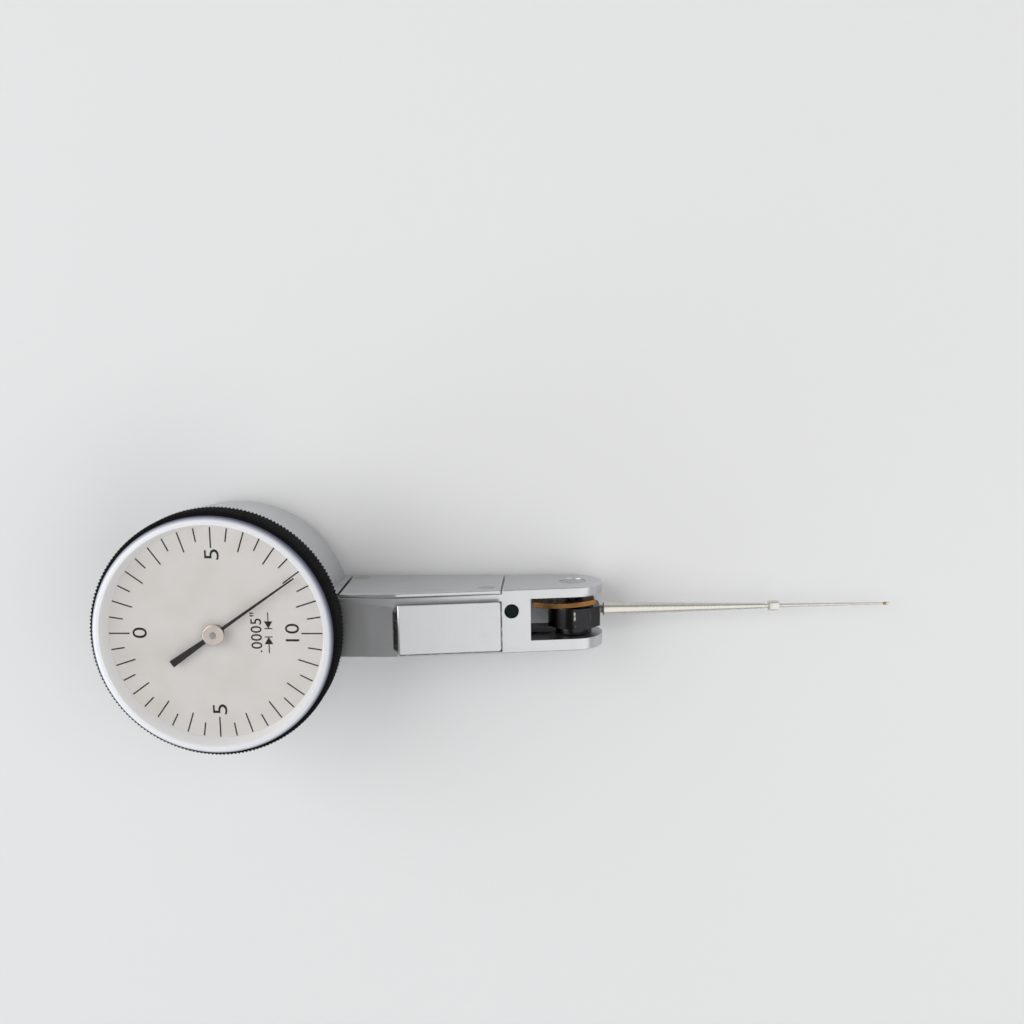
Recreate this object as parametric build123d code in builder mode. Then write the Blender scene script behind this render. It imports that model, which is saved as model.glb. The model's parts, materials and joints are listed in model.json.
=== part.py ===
from build123d import *
import os
from math import cos, pi, radians, sin, sqrt, tan

os.makedirs("parts", exist_ok=True)

# Frame: the origin is the centre of the case back, on the dial's axis.
# +Z goes up through the dial, +X runs along the bar to the contact point,
# and the side cover is on +Y. Millimetres and degrees.

# Bar: the neck is parallel to the dial, the front slopes down to the fork
BAR_WIDTH = 7.4
BAR_WALL = 1.1
EAR_RADIUS = 3.4
PIVOT_X = 39.4
RIDGE_X = 19.7
FRONT_SLOPE = 8.1
EDGE_BREAK = 0.12
POCKET_INSET = 1.3
POCKET_END_X = 28.4
POCKET_LOW_Y = -2.75

# Dovetail rails: one on the front, one under it and one on the back of the case
RAIL_WIDTH = 5.8
RAIL_HEIGHT = 0.95
RAIL_FLANK = 60
RAIL_Y = -0.3
RAIL_ROOT = 0.5
RAIL_CORNER = 0.3
FRONT_RAIL_START = -0.35
FRONT_RAIL_LENGTH = 12.0
FRONT_RAIL_RAMP = 0.5
UNDER_RAIL_START_X = 20.1
UNDER_RAIL_LENGTH = 11.5
REAR_RAIL_SINK = 0.25
REAR_RAIL_LENGTH = 8.2
REAR_RAIL_LOW_Z = 1.6

# Case
CASE_INSET = 0.95
CASE_FOOT_INSET = 2.3
CASE_FLOOR = 1.2
CASE_CHAMFER = 0.7
RIM_INSET = 0.7
RIM_WALL = 1.9
DIAL_ABOVE_NECK = 2.8

# Bezel, crystal and dial
BEZEL_RADIUS = 13.85
BEZEL_ABOVE_DIAL = 1.15
BEZEL_BELOW_DIAL = 2.3
KNURL_COUNT = 200
KNURL_DEPTH = 0.18
KNURL_CHAMFER = 0.22
BEZEL_GAP = 0.15
FLANGE_INSET = 0.5
FLANGE_THICKNESS = 0.4
BEZEL_WALL = 0.5
CRYSTAL_ABOVE_DIAL = 2.15
CRYSTAL_SHOULDER = 0.85
CRYSTAL_THICKNESS = 0.7
DIAL_THICKNESS = 0.4
DIAL_SIDE_GAP = 0.05
DIAL_RING_WIDTH = 1.3
DIAL_HOLE = 1.0
DIAL_RING_HEIGHT = 0.75
DIAL_RING_LIP = 0.4
SPRING_WIRE = 0.2
SPRING_BELOW_DIAL = 1.7
SPRING_OPENING = 24

# Pointer
POINTER_ANGLE = 34.6
POINTER_INSET = 0.9
POINTER_TAIL = 5.9
POINTER_WIDTHS = (0.17, 0.4, 0.46, 0.83)
POINTER_THICKNESS = 0.15
POINTER_ABOVE_DIAL = 0.55
POINTER_EYE = 1.05
HUB_CAP_RADIUS = 1.2
HUB_CAP_HEIGHT = 0.3
HUB_TUBE_RADIUS = 0.6
HUB_ABOVE_DIAL = 0.2

# Movement plate
PLATE_LEDGE = 0.65
PLATE_THICKNESS = 0.8
PLATE_BELOW_DIAL = 1.4
LUG_INSET = 1.2
LUG_RADIUS = 1.3
LUG_ANGLES = (60, 180, 300)
PLATE_SCREW = (1.0, 0.4, 0.5, 2.6)

# Movement bridge
BRIDGE_HALF_WIDTH = 1.3
BRIDGE_THICKNESS = 0.7
BRIDGE_LOW_Y = -7.0
BRIDGE_HIGH_Y = 5.6
CHEEK_THICKNESS = 0.8
CHEEK_LOW_Y = -4.9
CHEEK_HIGH_Y = 2.6
ARM_THICKNESS = 0.7
ARM_HALF_WIDTH = 0.95
BRIDGE_SCREW = (0.7, 0.35, 0.4, 1.4)
BRIDGE_SCREW_EDGE = 0.9

# Gear train: sector to crown pinion, crown wheel to centre pinion
TOOTH_SHARE = 0.43
ADDENDUM = 0.85
DEDENDUM = 1.2
SECTOR_OUTSET = 4.26
SECTOR_TEETH = 144
SECTOR_LOW_TEETH = 2
SECTOR_HIGH_TEETH = 6
SECTOR_HIGH_Y = -0.55
SECTOR_THICKNESS = 0.6
SECTOR_EYE_RADIUS = 2.7
SECTOR_RIM = 1.3
SECTOR_ARM = 1.1
SECTOR_WINDOW_MARGIN = 2
PINION_TEETH = 12
CROWN_PINION_HIGH_Y = -0.3
CROWN_PINION_LENGTH = 1.2
CROWN_MODULE = 0.2
CROWN_TEETH = 36
CROWN_FACE = 0.6
CROWN_TOOTH_ROOT = 0.34
CROWN_TOOTH_TAPER = 12
CROWN_TOOTH_GAP = 0.08
CROWN_WHEEL_THICKNESS = 0.5
CROWN_SPOKES = 5
CROWN_SPOKE_WIDTH = 0.48
CROWN_EYE_RADIUS = 0.88
CENTRE_PINION_LENGTH = 1.2
ARBOR_RADIUS = 0.4
CENTRE_ARBOR_RADIUS = 0.35
TRAIN_PIVOT_RADIUS = 0.2
CENTRE_PIVOT_RADIUS = 0.15
JEWEL_RADIUS = 0.6
CENTRE_JEWEL_RADIUS = 0.8
JEWEL_THICKNESS = 0.5
POINTER_TURN_TRAVEL = 0.508

# Reversing pins, sector cock and its posts
PIN_RADIUS = 0.3
PIN_LENGTH = 1.7
COCK_LOW_Y = 2.0
COCK_THICKNESS = 0.7
COCK_EYE_RADIUS = 1.2
POST_RADIUS = 0.9
POST_OUTSET = 5.24
POST_LOW_Z = 3.2
POST_HIGH_Z = 7.9
COCK_SCREW = (0.8, 0.4, 0.45, 1.6)

# Hairspring
HAIRSPRING_START = 0.85
HAIRSPRING_END = 3.35
HAIRSPRING_TURNS = 5
HAIRSPRING_STRIP = (0.1, 0.3)
HAIRSPRING_BELOW_PLATE = 0.3
COLLET_RADIUS = 0.75
COLLET_HEIGHT = 0.5
STUD_RADIUS = 0.2

# Fork, lever and friction spring
SLOT_ROOT = 15.1
SLOT_LOW_Y = -2.3
SLOT_HIGH_Y = 2.55
SHAFT_RADIUS = 0.6
SHAFT_PIVOT_RADIUS = 0.25
BEARING_RADIUS = 0.8
BEARING_LENGTH = 0.5
BEARING_SCREW_RADIUS = 1.5
BEARING_SCREW_INSET = 0.1
END_SHAKE = 0.05
LEVER_HIGH_Y = -1.45
LEVER_THICKNESS = 0.7
LEVER_HEIGHT = 1.5
LEVER_EYE_RADIUS = 2.2
TAIL_LENGTH = 6.4
TAIL_HEIGHT = 4.0
TAIL_RIM = 0.6
TAIL_STEP = 0.9
TAIL_GAP = 0.03
CHANNEL_HALF_HEIGHT = 1.15
CHANNEL_SIDE = 0.2
LEAF_THICKNESS = 0.55
LEAF_HEIGHT = 5.0
LEAF_BACK = (-4.7, 1.57)
LEAF_MIDDLE = (-1.2, 1.31)
LEAF_FRONT = (2.4, 1.75)
NUT_RADIUS = 1.1
NUT_LOW_Y = 1.82
NUT_THICKNESS = 0.45

# Contact point assembly
HUB_RADIUS = 2.9
HUB_SHOULDER = 1.88
HUB_NOSE = 3.05
HUB_NOSE_HALF = 1.2
HUB_LOW_Y = -1.38
HUB_HIGH_Y = 1.0
STYLUS_Y = 0.3
STYLUS_LENGTH = 36.8
SHANK_START = 3.5
SHANK_SHARE = 0.6087
SHANK_RADIUS = 0.78
SHANK_TIP_RADIUS = 0.32
SCREW_START = 1.3
SCREW_RADIUS = 0.5
NECK_LENGTH = 0.4
NECK_RADIUS = 0.25
COLLAR_LENGTH = 1.15
COLLAR_RADIUS = 0.6
COLLAR_FLATS = 0.95
POINT_RADIUS = 0.23
POINT_TIP_RADIUS = 0.12
BALL_RADIUS = 0.2

# Side cover and its screws
COVER_THICKNESS = 0.5
COVER_OUTSET = 0.4
COVER_END_X = 31.3
COVER_GAP = 0.2
COVER_SCREW = (0.95, 0.35, 0.55, 1.9)
COVER_SCREW_INSET = 1.6
COVER_SCREW_U = 10.2
BOSS_INSET = 1.3
BOSS_Z = 2.45
BOSS_RADIUS = 1.2

# Adjusting screw in the sloping front
ADJUST_U = 12.93
ADJUST_Y = 1.19
ADJUST_RADIUS = 0.81
ADJUST_LENGTH = 1.6
SEAL_THICKNESS = 0.3
SEAL_INSET = 0.25

# Screw slots, as shares of the head's radius and height
SLOT_WIDTH = 0.22
SLOT_DEPTH = 0.4

# Fits
RUNNING = 0.02
SEAT = 0.01
GAP = 0.15

# Sizes that follow from the ones above, from the bezel inwards
case_radius = BEZEL_RADIUS - CASE_INSET
case_foot_radius = case_radius - CASE_FOOT_INSET
rim_radius = case_radius - RIM_INSET
well_radius = rim_radius - RIM_WALL
flange_radius = rim_radius - FLANGE_INSET
crystal_radius = BEZEL_RADIUS - BEZEL_WALL
dial_radius = crystal_radius - DIAL_SIDE_GAP
dial_sight_radius = dial_radius - DIAL_RING_WIDTH
pointer_length = dial_sight_radius - POINTER_INSET
plate_radius = well_radius + PLATE_LEDGE
lug_circle = well_radius - LUG_INSET
pocket_start_x = well_radius - POCKET_INSET
cover_start_x = case_radius + COVER_OUTSET
boss_x = cover_start_x + BOSS_INSET
shank_end_s = SHANK_SHARE * STYLUS_LENGTH

# Heights
slope = radians(FRONT_SLOPE)
tilt = slope / 2
half_width = BAR_WIDTH / 2
cover_inner_y = half_width - COVER_THICKNESS
pivot_z = RAIL_HEIGHT + EAR_RADIUS
neck_z = pivot_z + EAR_RADIUS / cos(slope) + (PIVOT_X - RIDGE_X) * tan(slope)
dial_z = neck_z + DIAL_ABOVE_NECK
dial_back_z = dial_z - DIAL_THICKNESS
flange_z = dial_back_z - FLANGE_THICKNESS
bezel_low_z = dial_z - BEZEL_BELOW_DIAL
bezel_top_z = dial_z + BEZEL_ABOVE_DIAL
ring_top_z = dial_z + DIAL_RING_HEIGHT
crystal_top_z = dial_z + CRYSTAL_ABOVE_DIAL
shoulder_z = bezel_low_z - GAP
rim_top_z = flange_z - GAP
spring_z = dial_z - SPRING_BELOW_DIAL
plate_top_z = dial_z - PLATE_BELOW_DIAL
plate_low_z = plate_top_z - PLATE_THICKNESS
pointer_z = dial_z + POINTER_ABOVE_DIAL
hub_cap_z = pointer_z + POINTER_THICKNESS
spring_radius = rim_radius + BEZEL_GAP / 2
wire_groove = SPRING_WIRE + SEAT

# The sector's arbor stands outside the case, and its module gives this
# centre distance from the dial's axis. It is on the line that runs from
# the lever's pivot along the middle of the bar
sector_x = case_radius + SECTOR_OUTSET
post_x = sector_x + POST_OUTSET
sector_module = 2 * sector_x / (SECTOR_TEETH + PINION_TEETH)
sector_pitch = sector_module * SECTOR_TEETH / 2
pinion_pitch = sector_module * PINION_TEETH / 2
crown_pitch = CROWN_MODULE * CROWN_TEETH / 2
centre_pitch = CROWN_MODULE * PINION_TEETH / 2
train_z = pivot_z + (PIVOT_X - sector_x) * tan(tilt)
lever_back = (PIVOT_X - sector_x) / cos(tilt)

# One turn of the pointer is POINTER_TURN_TRAVEL at the ball, and the pins'
# distance from the sector's arbor gives the lever the share that is missing
train_ratio = SECTOR_TEETH / PINION_TEETH * CROWN_TEETH / PINION_TEETH
total_ratio = 2 * pi * STYLUS_LENGTH / POINTER_TURN_TRAVEL
pin_offset = lever_back / (total_ratio / train_ratio - 1)

front = Plane(
    origin=(RIDGE_X, 0, neck_z),
    x_dir=(cos(slope), 0, -sin(slope)),
    z_dir=(sin(slope), 0, cos(slope)),
)
front_side = Plane(origin=front.origin, x_dir=front.x_dir, z_dir=(0, -1, 0))
lever_plane = Plane(
    origin=(PIVOT_X, 0, pivot_z),
    x_dir=(cos(tilt), 0, -sin(tilt)),
    z_dir=(0, -1, 0),
)
sector_plane = Plane(origin=(sector_x, 0, train_z), x_dir=(1, 0, 0), z_dir=(0, -1, 0))
crown_plane = Plane(origin=(0, 0, train_z), x_dir=(1, 0, 0), z_dir=(0, -1, 0))


def across(y):
    """Plane square to Y at y: local x is X, local y is Z, and it extrudes towards -Y."""
    return Plane.XZ.offset(-y)


def facing(x, y, z, normal_y):
    """Place at (x, y, z) with its local Z along +Y or -Y."""
    return Plane(origin=(x, y, z), x_dir=(1, 0, 0), z_dir=(0, normal_y, 0)).location


def front_top(x):
    """Height of the bar's top surface at x."""
    return neck_z - max(0, x - RIDGE_X) * tan(slope)


def on_lever(s, t):
    """X and Z of the point s along the contact point's line and t above it."""
    place = lever_plane.from_local_coords((s, t, 0))
    return place.X, place.Z


def rail(start, length, ramp):
    """Dovetail along start's normal, with its width along local x and its height along local y."""
    top = RAIL_WIDTH / 2
    base = top - RAIL_HEIGHT / tan(radians(RAIL_FLANK))
    run = Axis(start.origin, start.z_dir)
    with BuildPart() as dovetail:
        with BuildSketch(start):
            with BuildLine():
                Polyline(
                    (-base, -RAIL_ROOT), (base, -RAIL_ROOT), (base, 0), (top, RAIL_HEIGHT),
                    (-top, RAIL_HEIGHT), (-base, 0), close=True,
                )
            make_face()
        extrude(amount=length)
        flanks = dovetail.faces().sort_by(run)[-1].edges().filter_by(
            lambda edge: abs(edge.tangent_at(0.5).dot(start.y_dir)) > 0.5
            and (edge.center() - start.origin).dot(start.y_dir) > 0
        )
        fillet(flanks, RAIL_CORNER)
        if ramp > 0:
            cut = Plane(
                origin=start.origin, x_dir=start.x_dir,
                z_dir=start.z_dir * RAIL_HEIGHT - start.y_dir * ramp,
            )
            split(bisect_by=cut, keep=Keep.TOP)
        top_face = dovetail.faces().sort_by(Axis(start.origin, start.y_dir))[-1]
        chamfer(top_face.edges(), EDGE_BREAK)
    return dovetail.part


def slotted_screw(head_radius, head_height, shank_radius, shank_length):
    """Screw with the outer face of its head at the origin and its shank along -Z."""
    with BuildPart() as screw:
        with BuildSketch():
            Circle(head_radius)
        extrude(amount=-head_height)
        with BuildSketch(Plane.XY.offset(-head_height)):
            Circle(shank_radius)
        extrude(amount=-shank_length)
        with BuildSketch():
            Rectangle(2 * (head_radius + GAP), SLOT_WIDTH * head_radius)
        extrude(amount=-SLOT_DEPTH * head_height, mode=Mode.SUBTRACT)
    return screw.part


def gear_teeth(module, teeth, angles):
    """Draw a tooth at each of the angles in the sketch that is open."""
    pitch = module * teeth / 2
    root = pitch - DEDENDUM * module
    tip = pitch + ADDENDUM * module
    step = pi * module
    for angle in angles:
        with Locations(Location((0, 0, 0), (0, 0, angle))):
            Polygon(
                (root - 0.1, -0.3 * step), (pitch, -TOOTH_SHARE / 2 * step), (tip, -0.1 * step),
                (tip, 0.1 * step), (pitch, TOOTH_SHARE / 2 * step), (root - 0.1, 0.3 * step),
                align=None,
            )


# Places that pieces share
lug_places = [(lug_circle * cos(radians(a)), lug_circle * sin(radians(a))) for a in LUG_ANGLES]
bridge_top_z = CASE_FLOOR + BRIDGE_THICKNESS
bridge_screw_ys = (BRIDGE_LOW_Y + BRIDGE_SCREW_EDGE, BRIDGE_HIGH_Y - BRIDGE_SCREW_EDGE)
post_places = [(post_x, POST_LOW_Z), (post_x, POST_HIGH_Z)]
front_screw = front_side.from_local_coords((COVER_SCREW_U, -COVER_SCREW_INSET, 0))
cover_screw_places = [(boss_x, BOSS_Z), (front_screw.X, front_screw.Z)]
adjust_place = front.from_local_coords((ADJUST_U, ADJUST_Y, 0))
adjust_plane = Plane(origin=adjust_place, x_dir=front.x_dir, z_dir=front.z_dir)
low_bearing_y = SLOT_LOW_Y - END_SHAKE
high_bearing_y = SLOT_HIGH_Y + END_SHAKE
low_screw_bed_y = low_bearing_y - BEARING_LENGTH
high_screw_bed_y = high_bearing_y + BEARING_LENGTH

front_rail = rail(
    Plane(
        origin=front.from_local_coords((FRONT_RAIL_START, RAIL_Y, 0)),
        x_dir=(0, 1, 0), z_dir=front.x_dir,
    ),
    FRONT_RAIL_LENGTH, FRONT_RAIL_RAMP,
)
under_rail = rail(
    Plane(origin=(UNDER_RAIL_START_X, RAIL_Y, RAIL_HEIGHT), x_dir=(0, -1, 0), z_dir=(1, 0, 0)),
    UNDER_RAIL_LENGTH, 0,
)
rear_rail = rail(
    Plane(
        origin=(REAR_RAIL_SINK - case_radius, 0, REAR_RAIL_LOW_Z),
        x_dir=(0, 1, 0), z_dir=(0, 0, 1),
    ),
    REAR_RAIL_LENGTH, 0,
)

# Body: the case, the neck, the sloping front, the fork and the rails are one piece
with BuildPart() as body:
    with BuildSketch(Plane.XZ):
        with BuildLine():
            Polyline(
                (PIVOT_X, RAIL_HEIGHT), (0, RAIL_HEIGHT), (0, neck_z), (RIDGE_X, neck_z),
                (PIVOT_X + EAR_RADIUS * sin(slope), pivot_z + EAR_RADIUS * cos(slope)),
            )
            CenterArc((PIVOT_X, pivot_z), EAR_RADIUS, -90, 180 - FRONT_SLOPE)
        make_face()
    extrude(amount=half_width, both=True)
    chamfer(body.faces().filter_by(Axis.Y).edges(), EDGE_BREAK)
    with BuildSketch(Plane.XZ):
        with BuildLine():
            Polyline(
                (0, 0), (case_foot_radius, 0), (case_foot_radius, RAIL_HEIGHT),
                (case_radius - CASE_CHAMFER, RAIL_HEIGHT), (case_radius, RAIL_HEIGHT + CASE_CHAMFER),
                (case_radius, shoulder_z), (rim_radius, shoulder_z), (rim_radius, rim_top_z),
                (0, rim_top_z), close=True,
            )
        make_face()
    revolve(axis=Axis.Z)
    add(front_rail)
    add(under_rail)
    add(rear_rail)

    # Wire groove in the rim
    with BuildSketch(Plane.XZ):
        with Locations((rim_radius, spring_z)):
            Rectangle(2 * (rim_radius - spring_radius + wire_groove), 2 * wire_groove)
    revolve(axis=Axis.Z, mode=Mode.SUBTRACT)

    # Well for the movement, with three lugs under the plate
    with BuildSketch(Plane.XY.offset(CASE_FLOOR)):
        Circle(well_radius)
        with Locations(*lug_places):
            Circle(LUG_RADIUS, mode=Mode.SUBTRACT)
    extrude(amount=plate_low_z - CASE_FLOOR, mode=Mode.SUBTRACT)
    with BuildSketch(Plane.XY.offset(plate_low_z)):
        Circle(plate_radius + RUNNING)
    extrude(amount=PLATE_BELOW_DIAL, mode=Mode.SUBTRACT)
    with BuildSketch(Plane.XY.offset(plate_low_z)):
        with Locations(*lug_places):
            Circle(PLATE_SCREW[2] + SEAT)
    extrude(amount=-PLATE_SCREW[3], mode=Mode.SUBTRACT)
    with BuildSketch(Plane.XY.offset(CASE_FLOOR)):
        with Locations(*[(0, y) for y in bridge_screw_ys]):
            Circle(BRIDGE_SCREW[2] + SEAT)
    extrude(amount=BRIDGE_THICKNESS - BRIDGE_SCREW[3], mode=Mode.SUBTRACT)

    # Pocket for the lever and the sector, open to the side cover
    with BuildSketch(across(cover_inner_y)):
        with BuildLine():
            Polyline(
                (pocket_start_x, RAIL_HEIGHT + BAR_WALL), (POCKET_END_X, RAIL_HEIGHT + BAR_WALL),
                (POCKET_END_X, front_top(POCKET_END_X) - BAR_WALL), (RIDGE_X, neck_z - BAR_WALL),
                (pocket_start_x, neck_z - BAR_WALL), close=True,
            )
        make_face()
        with Locations(*post_places):
            Circle(POST_RADIUS, mode=Mode.SUBTRACT)
        with Locations((boss_x, BOSS_Z)):
            Circle(BOSS_RADIUS, mode=Mode.SUBTRACT)
    extrude(amount=cover_inner_y - POCKET_LOW_Y, mode=Mode.SUBTRACT)
    with BuildSketch(across(cover_inner_y)):
        with Locations(*post_places):
            Circle(POST_RADIUS + SEAT)
    extrude(amount=cover_inner_y - COCK_LOW_Y, mode=Mode.SUBTRACT)
    with BuildSketch(across(COCK_LOW_Y)):
        with Locations(*post_places):
            Circle(COCK_SCREW[2] + SEAT)
    extrude(amount=COCK_SCREW[3] - COCK_THICKNESS, mode=Mode.SUBTRACT)
    with BuildSketch(sector_plane.offset(-POCKET_LOW_Y)):
        Circle(JEWEL_RADIUS + SEAT)
    extrude(amount=JEWEL_THICKNESS + 2 * END_SHAKE, mode=Mode.SUBTRACT)

    # Step that the side cover fills, and its tapped holes
    with BuildSketch(across(half_width)):
        with Locations((cover_start_x - COVER_GAP, 0)):
            Rectangle(
                COVER_END_X - cover_start_x + 2 * COVER_GAP, neck_z + EAR_RADIUS,
                align=(Align.MIN, Align.MIN),
            )
    extrude(amount=COVER_THICKNESS, mode=Mode.SUBTRACT)
    with BuildSketch(across(cover_inner_y)):
        with Locations(*cover_screw_places):
            Circle(COVER_SCREW[2] + SEAT)
    extrude(amount=COVER_SCREW[1] + COVER_SCREW[3] - COVER_THICKNESS, mode=Mode.SUBTRACT)

    # Fork slot, and the channel that lets the lever through its root
    with BuildSketch(front_side.offset(-SLOT_HIGH_Y)):
        with Locations((SLOT_ROOT, 0)):
            Rectangle(PIVOT_X - RIDGE_X, 2 * neck_z, align=(Align.MIN, Align.CENTER))
    extrude(amount=SLOT_HIGH_Y - SLOT_LOW_Y, mode=Mode.SUBTRACT)
    with BuildSketch(lever_plane.offset(-LEVER_HIGH_Y - CHANNEL_SIDE)):
        with Locations((-LEVER_EYE_RADIUS, 0)):
            Rectangle(
                PIVOT_X - POCKET_END_X, 2 * CHANNEL_HALF_HEIGHT, align=(Align.MAX, Align.CENTER),
            )
    extrude(amount=LEVER_THICKNESS + 2 * CHANNEL_SIDE, mode=Mode.SUBTRACT)

    # Seats of the two pivot bearings and their screws
    with BuildSketch(lever_plane.offset(-half_width)):
        Circle(BEARING_RADIUS + SEAT)
    extrude(amount=BAR_WIDTH, mode=Mode.SUBTRACT)
    with BuildSketch(lever_plane.offset(-half_width)):
        Circle(BEARING_SCREW_RADIUS + SEAT)
    extrude(amount=half_width - high_screw_bed_y, mode=Mode.SUBTRACT)
    with BuildSketch(lever_plane.offset(half_width)):
        Circle(BEARING_SCREW_RADIUS + SEAT)
    extrude(amount=-half_width - low_screw_bed_y, mode=Mode.SUBTRACT)

    # Hole of the adjusting screw
    with BuildSketch(adjust_plane):
        Circle(ADJUST_RADIUS + SEAT)
    extrude(amount=-SEAL_INSET - SEAL_THICKNESS - ADJUST_LENGTH, mode=Mode.SUBTRACT)
body.part.label = "body"
export_step(body.part, "parts/body.step")

# Side cover: a plate with the bar's outline, held by two screws
with BuildPart() as side_cover:
    with BuildSketch(across(half_width)):
        with BuildLine():
            Polyline(
                (cover_start_x, RAIL_HEIGHT), (COVER_END_X, RAIL_HEIGHT),
                (COVER_END_X, front_top(COVER_END_X)), (RIDGE_X, neck_z),
                (cover_start_x, neck_z), close=True,
            )
        make_face()
    extrude(amount=COVER_THICKNESS)
    chamfer(side_cover.faces().sort_by(Axis.Y)[-1].edges(), EDGE_BREAK)
    with Locations(*[facing(x, half_width, z, 1) for x, z in cover_screw_places]):
        CounterBoreHole(
            radius=COVER_SCREW[2] + SEAT, counter_bore_radius=COVER_SCREW[0] + SEAT,
            counter_bore_depth=COVER_SCREW[1],
        )
side_cover.part.label = "side_cover"
export_step(side_cover.part, "parts/side_cover.step")

cover_screw = slotted_screw(*COVER_SCREW)
with BuildPart() as cover_screws:
    with Locations(*[facing(x, half_width, z, 1) for x, z in cover_screw_places]):
        add(cover_screw)
cover_screws.part.label = "cover_screws"
export_step(cover_screws.part, "parts/cover_screws.step")

# Bezel: a black ring with straight knurling, which carries the dial and the crystal
with BuildPart() as bezel:
    for inset, z in (
        (KNURL_CHAMFER, bezel_low_z), (0, bezel_low_z + KNURL_CHAMFER),
        (0, bezel_top_z - KNURL_CHAMFER), (KNURL_CHAMFER, bezel_top_z),
    ):
        knurl_points = []
        for index in range(2 * KNURL_COUNT):
            radius = BEZEL_RADIUS - inset - KNURL_DEPTH * (index % 2)
            angle = pi * index / KNURL_COUNT
            knurl_points.append((radius * cos(angle), radius * sin(angle)))
        with BuildSketch(Plane.XY.offset(z)):
            Polygon(*knurl_points, align=None)
    loft(ruled=True)
    with BuildSketch(Plane.XZ):
        with BuildLine():
            Polyline(
                (0, bezel_low_z), (rim_radius + BEZEL_GAP, bezel_low_z),
                (rim_radius + BEZEL_GAP, flange_z), (flange_radius, flange_z),
                (flange_radius, dial_back_z), (crystal_radius + SEAT, dial_back_z),
                (crystal_radius + SEAT, bezel_top_z), (0, bezel_top_z), close=True,
            )
        make_face()
    revolve(axis=Axis.Z, mode=Mode.SUBTRACT)
    with BuildSketch(Plane.XZ):
        with Locations((rim_radius, spring_z)):
            Rectangle(2 * (spring_radius + SPRING_WIRE + RUNNING - rim_radius), 2 * wire_groove)
    revolve(axis=Axis.Z, mode=Mode.SUBTRACT)
bezel.part.label = "bezel"
export_step(bezel.part, "parts/bezel.step")

# Crystal: an acrylic cap with a rounded shoulder, pressed into the bezel
with BuildPart() as crystal:
    with BuildSketch(Plane.XZ):
        with BuildLine():
            Polyline(
                (0, crystal_top_z - CRYSTAL_THICKNESS),
                (dial_radius - DIAL_RING_LIP, crystal_top_z - CRYSTAL_THICKNESS),
                (dial_radius - DIAL_RING_LIP, ring_top_z),
                (crystal_radius, ring_top_z),
                (crystal_radius, crystal_top_z),
                (0, crystal_top_z),
                close=True,
            )
        make_face()
    revolve(axis=Axis.Z)
    fillet(crystal.faces().sort_by(Axis.Z)[-1].edges(), CRYSTAL_SHOULDER)
crystal.part.label = "crystal"
export_step(crystal.part, "parts/crystal.step")

# Dial ring: the pale cone between the dial and the crystal
with BuildPart() as dial_ring:
    with BuildSketch(Plane.XZ):
        with BuildLine():
            Polyline(
                (dial_sight_radius, dial_z), (dial_radius, dial_z), (dial_radius, ring_top_z),
                (dial_radius - DIAL_RING_LIP, ring_top_z), close=True,
            )
        make_face()
    revolve(axis=Axis.Z)
dial_ring.part.label = "dial_ring"
export_step(dial_ring.part, "parts/dial_ring.step")

with BuildPart() as dial_face:
    with BuildSketch(Plane.XY.offset(dial_back_z)):
        Circle(dial_radius)
        Circle(DIAL_HOLE, mode=Mode.SUBTRACT)
    extrude(amount=DIAL_THICKNESS)
dial_face.part.label = "dial_face"
export_step(dial_face.part, "parts/dial_face.step")

# Bezel spring: an open wire ring that sits half in the rim and half in the bezel
with BuildPart() as bezel_spring:
    with BuildSketch(Plane.XZ.rotated((0, 0, SPRING_OPENING / 2))):
        with Locations((spring_radius, spring_z)):
            RegularPolygon(SPRING_WIRE, 8)
    revolve(axis=Axis.Z, revolution_arc=360 - SPRING_OPENING)
bezel_spring.part.label = "bezel_spring"
export_step(bezel_spring.part, "parts/bezel_spring.step")

# Pointer, its hub, and the arbor with the centre pinion, which turn together
tip_width, front_width, back_width, tail_width = POINTER_WIDTHS
with BuildPart() as pointer:
    with BuildSketch(Plane.XY.offset(pointer_z).rotated((0, 0, POINTER_ANGLE))):
        Polygon(
            (pointer_length, -tip_width / 2), (pointer_length, tip_width / 2),
            (0, front_width / 2), (0, back_width / 2), (-POINTER_TAIL, tail_width / 2),
            (-POINTER_TAIL, -tail_width / 2), (0, -back_width / 2), (0, -front_width / 2),
            align=None,
        )
        Circle(POINTER_EYE)
        Circle(HUB_TUBE_RADIUS + SEAT, mode=Mode.SUBTRACT)
    extrude(amount=POINTER_THICKNESS)
pointer.part.label = "pointer"
export_step(pointer.part, "parts/pointer.step")

with BuildPart() as pointer_hub:
    with BuildSketch(Plane.XY.offset(dial_z + HUB_ABOVE_DIAL)):
        Circle(HUB_TUBE_RADIUS)
    extrude(amount=POINTER_ABOVE_DIAL + POINTER_THICKNESS - HUB_ABOVE_DIAL)
    with BuildSketch(Plane.XY.offset(hub_cap_z)):
        Circle(HUB_CAP_RADIUS)
    extrude(amount=HUB_CAP_HEIGHT)
    chamfer(pointer_hub.faces().sort_by(Axis.Z)[-1].edges(), EDGE_BREAK)
    with BuildSketch(Plane.XY.offset(dial_z)):
        Circle(CENTRE_ARBOR_RADIUS + SEAT)
    extrude(amount=CRYSTAL_ABOVE_DIAL, mode=Mode.SUBTRACT)
pointer_hub.part.label = "pointer_hub"
export_step(pointer_hub.part, "parts/pointer_hub.step")

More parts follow.
